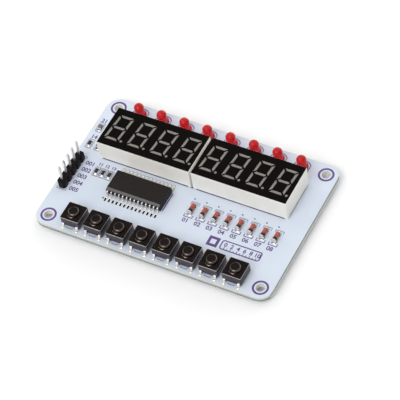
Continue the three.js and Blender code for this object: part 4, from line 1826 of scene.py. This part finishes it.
@dataclass
class PushKeys:
    """The row of push keys: bases, snap domes, cover plates, studs, leads and buttons."""

    rows: RowTree
    board_top: float
    side: float = 6.0
    body_height: float = 3.2
    footing: float = 0.5
    footing_inset: Vector = field(default_factory=lambda: Vector((0.3, 0.8)))
    floor: float = 0.9
    well: float = 2.4
    cover: float = 0.3
    cover_hole: float = 1.95
    stem: float = 1.75
    stud: float = 0.35
    stud_inset: float = 0.75
    lead_inset: float = 0.75
    reach: float = 1.0

    def __post_init__(self) -> None:
        """Finds the row of the keys."""
        self.row = Row.of("key_{}_base", ROW_COUNT, self.board_top)

    def outline(self, chamfer: float, inset: float = 0.0) -> Loop:
        """The square of a key with its corners cut and slightly rounded."""
        side = self.side - 2 * inset
        return rounded(side, side, chamfer, 4)

    def build(self) -> None:
        """Builds every piece of the row, and each button on its own body."""
        bases = nodes_named("key_{}_base", ROW_COUNT)
        covers = nodes_named("key_{}_cover", ROW_COUNT)
        for name, mesh, finish, nodes in (
            ("key_bases", self.base(), Finishes.KEY_BASE, bases),
            ("key_covers", self.cover_plate(), Finishes.KEY_STEEL, covers),
            ("key_cover_paint", self.cover_paint(), Finishes.KEY_PAINT, ()),
            ("key_highlight_lips", self.highlight_lip(), Finishes.KEY_HIGHLIGHT_LIP, ()),
            ("key_studs", self.studs(), Finishes.KEY_PAINT, ()),
            ("key_domes", self.dome(), Finishes.TIN, ()),
            ("key_leads", self.leads(), Finishes.TIN, ()),
            ("key_pads", self.pads(), Finishes.PAD, ()),
            ("key_solder", self.solder(), Finishes.SOLDER, ()),
        ):
            place_row(self.rows, self.row, name, mesh, finish, nodes)
        for number, spot in enumerate(self.row.places(), start=1):
            place(
                f"key_{number}_cap", moved(self.button(), spot), Finishes.KEY_BUTTON,
                [f"key_{number}_button"], body=f"button_{number}", smooth_below=50,
            )

    def base(self) -> bpy.types.Mesh:
        """The moulded base: its outer wall, rim, well and floor, on a narrower footing."""
        loops = [self.outline(0.3), circle(self.well, 40)]
        work = work_on(plate(loops, self.footing, self.body_height))
        low_edge = self.footing + 0.001
        for vert in work.verts:
            x, y, z = vert.co
            if abs(math.hypot(x, y) - self.well) < LEVEL and z < low_edge:
                vert.co.z = self.floor
        under = [
            f for f in work.faces
            if abs(f.normal.z) > 0.5 and f.calc_center_median().z < self.floor
        ]
        bmesh.ops.delete(work, geom=under, context="FACES")
        open_edges = [e for e in work.edges if e.is_boundary]
        low = [e for e in open_edges if all(v.co.z < low_edge for v in e.verts)]
        well = [e for e in open_edges if all(abs(v.co.z - self.floor) < 0.001 for v in e.verts)]
        bmesh.ops.contextual_create(work, geom=low)
        bmesh.ops.contextual_create(work, geom=well)
        inset, overlap = 2 * self.footing_inset, 0.05
        outline = rounded(self.side - inset.x, self.side - inset.y, 0.2, 3)
        foot = plate([outline], 0.0, self.footing + overlap)
        return joined([softened(mesh_of(work), 0.09, 2), foot])

    def cover_plate(self) -> bpy.types.Mesh:
        """The steel cover, with its round opening and its four stud holes."""
        holes = [circle(self.cover_hole, 40)] + [
            circle(self.stud + 0.05, 16, x, y) for x, y in self.stud_places()
        ]
        sheet = plate(
            [self.outline(0.4), *holes], self.body_height, self.body_height + self.cover - 0.02
        )
        return softened(sheet, 0.035, 1)

    def cover_paint(self) -> bpy.types.Mesh:
        """The dark paint on the cover, worn back from its edges."""
        top = self.body_height + self.cover
        holes = [circle(self.cover_hole + 0.05, 40)] + [
            circle(self.stud + 0.08, 16, x, y) for x, y in self.stud_places()
        ]
        film = plate([self.outline(0.36, 0.05), *holes], top - 0.02, top)
        wall = [circle(self.cover_hole + 0.05, 40), circle(self.cover_hole - 0.012, 40)]
        return joined([film, plate(wall, self.body_height, top)])

    def highlight_lip(self) -> bpy.types.Mesh:
        """A low shiny lip on the front of the cover's opening only, set where the front light makes
        its highlight: a painted highlight.
        """
        top = self.body_height + self.cover
        section = [(0.0, -0.02), (0.0, 0.16), (0.05, 0.2), (0.1, 0.19), (0.3, 0.01), (0.32, -0.02)]
        return swept_arc(section, self.cover_hole + 0.02, top, -135.0, -60.0, 16)

    def stud_places(self) -> list[tuple[float, float]]:
        """Where the four studs stand."""
        off = self.side / 2 - self.stud_inset
        return [(-off, -off), (off, -off), (off, off), (-off, off)]

    def studs(self) -> bpy.types.Mesh:
        """The four studs, each melted over to a low head."""
        top = self.body_height + self.cover
        head = self.stud + 0.08
        profile = [
            (0, self.body_height - 0.4), (self.stud, self.body_height - 0.4),
            (self.stud, top), (head, top + 0.01), (head, top + 0.03),
            (head * 0.8, top + 0.075), (head * 0.4, top + 0.095), (0, top + 0.1),
        ]
        return joined([moved(turned(profile, 16), (x, y, 0)) for x, y in self.stud_places()])

    def dome(self) -> bpy.types.Mesh:
        """The sprung metal dome on the floor of the well."""
        radius, rise, thickness, steps, sides = 1.9, 0.5, 0.06, 8, 32
        work = bmesh.new()
        for gap in (0.0, thickness):
            rings = []
            for i in range(steps):
                angle = math.pi / 2 * i / steps
                height = self.floor + (rise - gap) * math.sin(angle)
                ring = circle((radius - gap) * math.cos(angle), sides)
                rings.append([work.verts.new((x, y, height)) for x, y in ring])
            rings.append([work.verts.new((0, 0, self.floor + rise - gap))] * sides)
            for lower, upper in zip(rings, rings[1:]):
                for i in range(sides):
                    j = (i + 1) % sides
                    corners = (lower[i], lower[j], upper[j], upper[i])
                    work.faces.new(list(dict.fromkeys(corners)))
        bmesh.ops.bridge_loops(work, edges=[e for e in work.edges if e.is_boundary])
        return mesh_of(work)

    def leads(self) -> bpy.types.Mesh:
        """The four leads of a key."""
        lead = BentLead(
            width=0.76, thickness=0.25, root=0.4, shoulder=0.2,
            reach=self.reach, foot=0.48, exit_height=1.1, bend=0.16,
        )
        wall = -self.side / 2
        return joined([both_ways(moved(lead.mesh(), (x, wall, 0))) for x in self.lead_columns()])

    def lead_columns(self) -> tuple[float, float]:
        """The X of the leads on each side of a key's middle."""
        off = self.side / 2 - self.lead_inset
        return (-off, off)

    def solder(self) -> bpy.types.Mesh:
        """The solder at the toes of a key."""
        toe = 0.02 - self.side / 2 - self.reach
        return joined([
            both_ways(moved(solder_mound(width=0.95, length=0.4, height=0.26), (x, toe, 0.0)))
            for x in self.lead_columns()
        ])

    def pads(self) -> bpy.types.Mesh:
        """The pads under the feet of a key."""
        y = -self.side / 2 - 0.8
        return joined([
            both_ways(plate([rounded(1.2, 1.3, 0.2, 3, x, y)], 0.0, 0.025))
            for x in self.lead_columns()
        ])

    def button(self) -> bpy.types.Mesh:
        """The button: a plunger, a flange under the cover and a stem with a dished top."""
        plunger, flange, flange_depth, slack, edge = 0.8, 2.1, 0.6, 0.05, 0.65
        cover_top = self.body_height + self.cover
        top = cover_top + 0.9
        flange_top = self.body_height - slack
        flange_low = flange_top - flange_depth
        foot = self.floor + 0.85
        profile = [(0, foot), (plunger, foot), (plunger, flange_low), (flange, flange_low)]
        profile += [(flange, flange_top), (self.stem, flange_top)]
        rounding = (0.0, 0.05, 0.09, 0.11, 0.11, 0.09, 0.05, 0.0)
        for i, out in enumerate(rounding):
            share = i / (len(rounding) - 1)
            profile.append((self.stem - edge * share + out, top - edge * (1 - share) + out))
        profile += [(0.8, top - 0.02), (0.4, top - 0.035), (0, top - 0.04)]
        return turned(profile, 40)


@dataclass
class RoundLeds:
    """The row of round LEDs: tinted lenses, the lead frame sealed in each, and leads."""

    rows: RowTree
    board_top: float
    lens: float = 1.5
    flange: float = 1.9
    flange_height: float = 0.8
    seat: float = 0.1
    height: float = 5.15
    flat: float = 0.3
    lead: float = 0.5
    spacing: float = 2.54

    def __post_init__(self) -> None:
        """Finds the row, measured to the axis of each lens."""
        row = Row.of("led_{}", ROW_COUNT, self.board_top)
        first = Extent.of("led_1")
        axis = Vector((first.low.x + self.flange, first.centre.y, self.board_top))
        self.row = Row(row.count, axis, row.step)
        self.tail = first.low.z - self.board_top

    def lens_mesh(self) -> bpy.types.Mesh:
        """The lens with its flange, and the flat on the flange."""
        flange_top = self.seat + self.flange_height
        dome = self.height - self.lens
        profile = [(0, self.seat), (self.flange - 0.08, self.seat), (self.flange, self.seat + 0.08)]
        profile += [(self.flange, flange_top - 0.1), (self.flange - 0.1, flange_top)]
        profile += [(self.lens + 0.08, flange_top), (self.lens, flange_top + 0.08)]
        steps = 12
        for i in range(steps + 1):
            angle = math.pi / 2 * i / steps
            radius = 0.0 if i == steps else self.lens * math.cos(angle)
            profile.append((radius, dome + self.lens * math.sin(angle)))
        far = self.flange - self.flat
        tool = plate([rectangle(1.0, 6.0, far + 0.5, 0)], self.seat - 0.5, flange_top + 0.001)
        return carved(turned(profile, 40), tool)

    def frame_mesh(self) -> bpy.types.Mesh:
        """The lead frame inside the lens: an anvil with its cup, and a post."""
        flange_top = self.seat + self.flange_height
        wide = rectangle(1.15, 0.4, -0.45, 0)
        narrow = rectangle(0.5, 0.4, 0.72, 0)
        anvil = plate([wide], flange_top - 0.3, flange_top + 0.6)
        post = plate([narrow], flange_top - 0.3, flange_top + 0.4)
        bowl = turned([(0, 0), (0.32, 0.0), (0.42, 0.35), (0, 0.3)], 16)
        cup = moved(bowl, (-0.3, 0, flange_top + 0.6))
        return joined([softened(anvil, 0.05, 1), softened(post, 0.05, 1), cup])

    def lead_mesh(self) -> bpy.types.Mesh:
        """The two leads, down through the board."""
        blades = []
        for side in (-1, 1):
            outline = rectangle(self.lead, self.lead, side * self.spacing / 2, 0)
            blades.append(softened(plate([outline], self.tail, self.seat + 0.5), 0.05, 1))
        return joined(blades)

    def build(self) -> None:
        """Builds the lenses, the frames sealed in them and the leads."""
        place_row(
            self.rows, self.row, "led_lenses", self.lens_mesh(), Finishes.LENS,
            nodes_named("led_{}", ROW_COUNT), smooth_below=40,
        )
        place_row(self.rows, self.row, "led_frames", self.frame_mesh(), Finishes.TIN)
        place_row(self.rows, self.row, "led_leads", self.lead_mesh(), Finishes.TIN)


@dataclass
class GlassDiodes:
    """The row of glass diodes: barrels, black bands, caps and their solder."""

    rows: RowTree
    board_top: float
    length: float = 3.5
    cap: float = 0.4
    cap_radius: float = 0.75
    glass: float = 0.66
    band_start: float = 0.02
    band: float = 0.83

    def __post_init__(self) -> None:
        """Finds the row of the diodes."""
        self.row = Row.of("diode_{}", ROW_COUNT, self.board_top)
        self.axis = Extent.of("diode_1").centre.z - self.board_top

    def along(self, profile: Sequence[tuple[float, float]], sides: int = 28) -> bpy.types.Mesh:
        """A turned solid laid along Y on the diode's axis, with its heights towards -Y."""
        return moved(turned_round(turned(profile, sides), 90, "X"), (0, 0, self.axis))

    def barrel(self) -> bpy.types.Mesh:
        """The glass, swelling slightly where it was sealed."""
        half = self.length / 2 - self.cap
        profile = [(0, -half), (self.glass - 0.05, -half), (self.glass, -half + 0.2)]
        profile += [(self.glass - 0.03, 0.0), (self.glass, half - 0.2)]
        profile += [(self.glass - 0.05, half), (0, half)]
        return self.along(profile)

    def bands(self) -> bpy.types.Mesh:
        """The black band near the front cap."""
        half = self.length / 2 - self.cap
        start, end = half - self.band_start - self.band, half - self.band_start
        inner, outer = self.glass - 0.08, self.glass + 0.012
        return self.along([(inner, start), (outer, start), (outer, end), (inner, end)])

    def caps(self) -> bpy.types.Mesh:
        """The two metal caps."""
        half = self.length / 2
        radius, edge = self.cap_radius, 0.14
        profile = [
            (0, -half), (radius - edge, -half), (radius - 0.04, -half + 0.05),
            (radius, -half + edge), (radius, -half + self.cap), (0, -half + self.cap),
        ]
        return both_ways(self.along(profile))

    def solder(self) -> bpy.types.Mesh:
        """The pads and the solder at both caps."""
        half, run = self.length / 2, 0.36
        pad = plate([rounded(1.6, 1.3, 0.2, 3, 0, 0.15 - half)], 0.0, 0.03)
        toe = moved(solder_mound(1.3, run, height=0.62), (0, 0.06 - half, 0))
        sides = []
        for side in (-1, 1):
            mound = turned_round(solder_mound(0.5, run, height=0.5), 90 * side)
            sides.append(moved(mound, (side * 0.42, 0.24 - half, 0)))
        return both_ways(joined([pad, toe, *sides]))

    def build(self) -> None:
        """Builds every piece of the row."""
        place_row(
            self.rows, self.row, "diode_barrels", self.barrel(), Finishes.GLASS,
            nodes_named("diode_{}", ROW_COUNT), smooth_below=50,
        )
        place_row(self.rows, self.row, "diode_bands", self.bands(), Finishes.BAND)
        place_row(self.rows, self.row, "diode_caps", self.caps(), Finishes.TIN)
        place_row(self.rows, self.row, "diode_solder", self.solder(), Finishes.SOLDER)


class ChipPartKind(Enum):
    """The two kinds of small chip part: the length of its caps, their step and its finish."""

    RESISTOR = (0.2, 0.04, Finishes.CERAMIC)
    CAPACITOR = (0.28, 0.05, Finishes.CAPACITOR)


@dataclass
class ChipPart:
    """A chip resistor or capacitor: a ceramic body with a metal cap on each end."""

    node: str
    kind: ChipPartKind

    def build(self) -> None:
        """Builds the body, the caps and the solder, and a resistor's black glaze."""
        room = Extent.of(self.node)
        cap, step, finish = self.kind.value
        x, y = room.centre.x, room.centre.y
        wide, deep = room.size.x, room.size.y
        low, high = room.low.z, room.high.z
        outline = rectangle(wide - 2 * step, deep - 2 * cap + 0.1, x, y)
        body = plate([outline], low + step, high - step)
        name = self.node
        place(f"{name}_ceramic", softened(body, 0.03, 1), finish, [self.node])
        if self.kind is ChipPartKind.RESISTOR:
            window = rounded(wide - 0.16, deep - 2 * cap + 0.08, 0.06, 3, x, y)
            glaze = plate([window], high - step, high - 0.005)
            place(f"{name}_glaze", softened(glaze, 0.012, 1), Finishes.GLAZE)
        caps, joints = [], []
        for side in (-1, 1):
            end = y + side * (deep - cap) / 2
            caps.append(softened(plate([rectangle(wide, cap, x, end)], low, high), 0.06, 2))
            mound = solder_mound(wide + 0.15, 0.62, (high - low) * 0.85)
            if side > 0:
                turned_round(mound, 180)
            joints.append(moved(mound, (x, y + side * (deep / 2 - 0.02), low)))
            pad = rounded(wide + 0.25, 1.1, 0.12, 3, x, y + side * (deep / 2 + 0.12))
            joints.append(plate([pad], low, low + 0.02))
        place(f"{name}_caps", joined(caps), Finishes.TIN)
        place(f"{name}_solder", joined(joints), Finishes.SOLDER)


@dataclass
class Underside:
    """The solder joints under the board, one round each trimmed lead."""

    board: CircuitBoard
    radius_over_hole: float = 0.24
    height: float = 0.95

    def build(self) -> None:
        """Builds every joint."""
        bottom = self.board.room.low.z
        joints = []
        for x, y, radius in self.board.lead_holes():
            cone = solder_cone(radius + self.radius_over_hole, 0.34, self.height)
            joints.append(moved(cone, (x, y, bottom)))
        place("solder_joints", joined(joints), Finishes.SOLDER, smooth_below=60)


# The studio


@dataclass(frozen=True)
class PhotoCamera:
    """The camera of the photograph, found from the standard parts on the board.

    Lengths are in millimetres and angles in degrees. Azimuth 0 looks along +Y, and elevation is
    above the horizon.
    """

    position: tuple[float, float, float] = (231.62, -312.10, 489.23)
    azimuth: float = 36.084
    elevation: float = 51.579
    roll: float = -11.234
    focal_pixels: float = 2165.9
    frame_pixels: float = 400.0
    sensor: float = 36.0

    def build(self) -> None:
        """Sets the camera up as the scene's own."""
        data = bpy.data.cameras.new("photo_camera")
        data.sensor_width = self.sensor
        data.lens = self.focal_pixels * self.sensor / self.frame_pixels
        data.clip_start = 0.01
        data.clip_end = 20
        azimuth, elevation = math.radians(self.azimuth), math.radians(self.elevation)
        back = Vector(
            (
                math.sin(azimuth) * math.cos(elevation),
                -math.cos(azimuth) * math.cos(elevation),
                math.sin(elevation),
            )
        )
        level = Vector((math.cos(azimuth), math.sin(azimuth), 0))
        upright = back.cross(level)
        roll = math.radians(self.roll)
        right = level * math.cos(roll) + upright * math.sin(roll)
        up = back.cross(right)
        turn = Matrix((right, up, back)).transposed().to_4x4()
        camera = bpy.data.objects.new("photo_camera", data)
        bpy.context.scene.collection.objects.link(camera)
        camera.matrix_world = Matrix.Translation(Vector(self.position) * MM) @ turn
        bpy.context.scene.camera = camera


@dataclass(frozen=True)
class SoftBox:
    """A soft patch of light far away: brightest in its own direction and fading round it."""

    strength: float
    towards: tuple[float, float, float]
    narrowness: float

    def add(
        self,
        tree: bpy.types.NodeTree,
        direction: bpy.types.NodeSocket,
        so_far: "float | bpy.types.NodeSocket",
    ) -> bpy.types.NodeSocket:
        """Adds the patch to the light of the tent.

        Args:
            tree: the world's node tree.
            direction: the direction that light comes from.
            so_far: the light of what was added before it.

        Returns:
            The light of all the patches so far.
        """

        def step(operation: str, *values: "float | bpy.types.NodeSocket") -> bpy.types.NodeSocket:
            """One sum on plain values or on the results of other sums."""
            node = tree.nodes.new("ShaderNodeMath")
            node.operation = operation
            for socket, value in zip(node.inputs, values):
                if isinstance(value, bpy.types.NodeSocket):
                    tree.links.new(value, socket)
                else:
                    socket.default_value = value
            return node.outputs["Value"]

        facing = tree.nodes.new("ShaderNodeVectorMath")
        facing.operation = "DOT_PRODUCT"
        facing.inputs[1].default_value = Vector(self.towards).normalized()
        tree.links.new(direction, facing.inputs[0])
        lit = step("MAXIMUM", facing.outputs["Value"], 0.0)
        patch = step("POWER", lit, self.narrowness)
        return step("MULTIPLY_ADD", patch, self.strength, so_far)


@dataclass(frozen=True)
class Studio:
    """A white floor in a dim tent, lit by soft boxes and a pale ceiling.

    Nothing bright stands where glossy faces turned up mirror it to the photograph's camera, so
    they stay dark.
    """

    floor_side: float = 8.0
    floor_white: float = 0.9
    dim: float = 0.05
    boxes: tuple[SoftBox, ...] = (
        SoftBox(0.95, (0.0, 0.0, 1.0), 2.0),
        SoftBox(5.3, (-0.12, -0.70, 0.70), 18.0),
        SoftBox(1.95, (0.3, 0.87, 0.4), 16.0),
        SoftBox(2.0, (-0.25, 0.9, 0.3), 16.0),
        SoftBox(1.6, (-0.85, 0.1, 0.5), 16.0),
        SoftBox(0.6, (0.9, 0.1, 0.45), 16.0),
    )

    def build(self) -> None:
        """Builds the floor and the light of the tent."""
        self.build_floor()
        bpy.context.scene.view_settings.view_transform = "Standard"
        world = bpy.data.worlds.new("studio_tent")
        world.use_nodes = True
        tree = world.node_tree
        direction = tree.nodes.new("ShaderNodeTexCoord").outputs["Generated"]
        light = self.dim
        for box in self.boxes:
            light = box.add(tree, direction, light)
        background = tree.nodes["Background"]
        background.inputs["Color"].default_value = (1.0, 1.0, 1.0, 1.0)
        tree.links.new(light, background.inputs["Strength"])
        bpy.context.scene.world = world

    def build_floor(self) -> None:
        """Builds the floor, which isn't part of the object."""
        mesh = bpy.data.meshes.new("floor")
        half = self.floor_side / 2
        corners = [(-half, -half, 0), (half, -half, 0), (half, half, 0), (-half, half, 0)]
        mesh.from_pydata(corners, [], [(0, 1, 2, 3)])
        shader = Shader("floor_white")
        shader.surface.inputs["Base Color"].default_value = (*[self.floor_white] * 3, 1.0)
        shader.set(Roughness=0.9, Specular_IOR_Level=0.0)
        mesh.materials.append(shader.material)
        floor = bpy.data.objects.new("floor", mesh)
        bpy.context.scene.collection.objects.link(floor)


# The whole board


def main() -> None:
    """Loads the frame, builds every sub-assembly round it and sets up the studio."""
    logging.basicConfig(level=logging.INFO, format="%(name)s: %(message)s")
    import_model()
    PhotoCamera().build()
    Studio().build()
    rows = RowTree()
    board = CircuitBoard()
    board.build()
    top = board.room.high.z
    ScreenPrint(rows, ScaleTree(), board).build()
    PinHeader(rows).build()
    for side in ("left", "right"):
        NumericDisplay(side).build()
    DriverChip(rows, top).build()
    PushKeys(rows, top).build()
    RoundLeds(rows, top).build()
    GlassDiodes(rows, top).build()
    for node in nodes_named("resistor_{}", 4):
        ChipPart(node, ChipPartKind.RESISTOR).build()
    for node in nodes_named("capacitor_{}", 2):
        ChipPart(node, ChipPartKind.CAPACITOR).build()
    Underside(board).build()


if __name__ == "__main__":
    main()
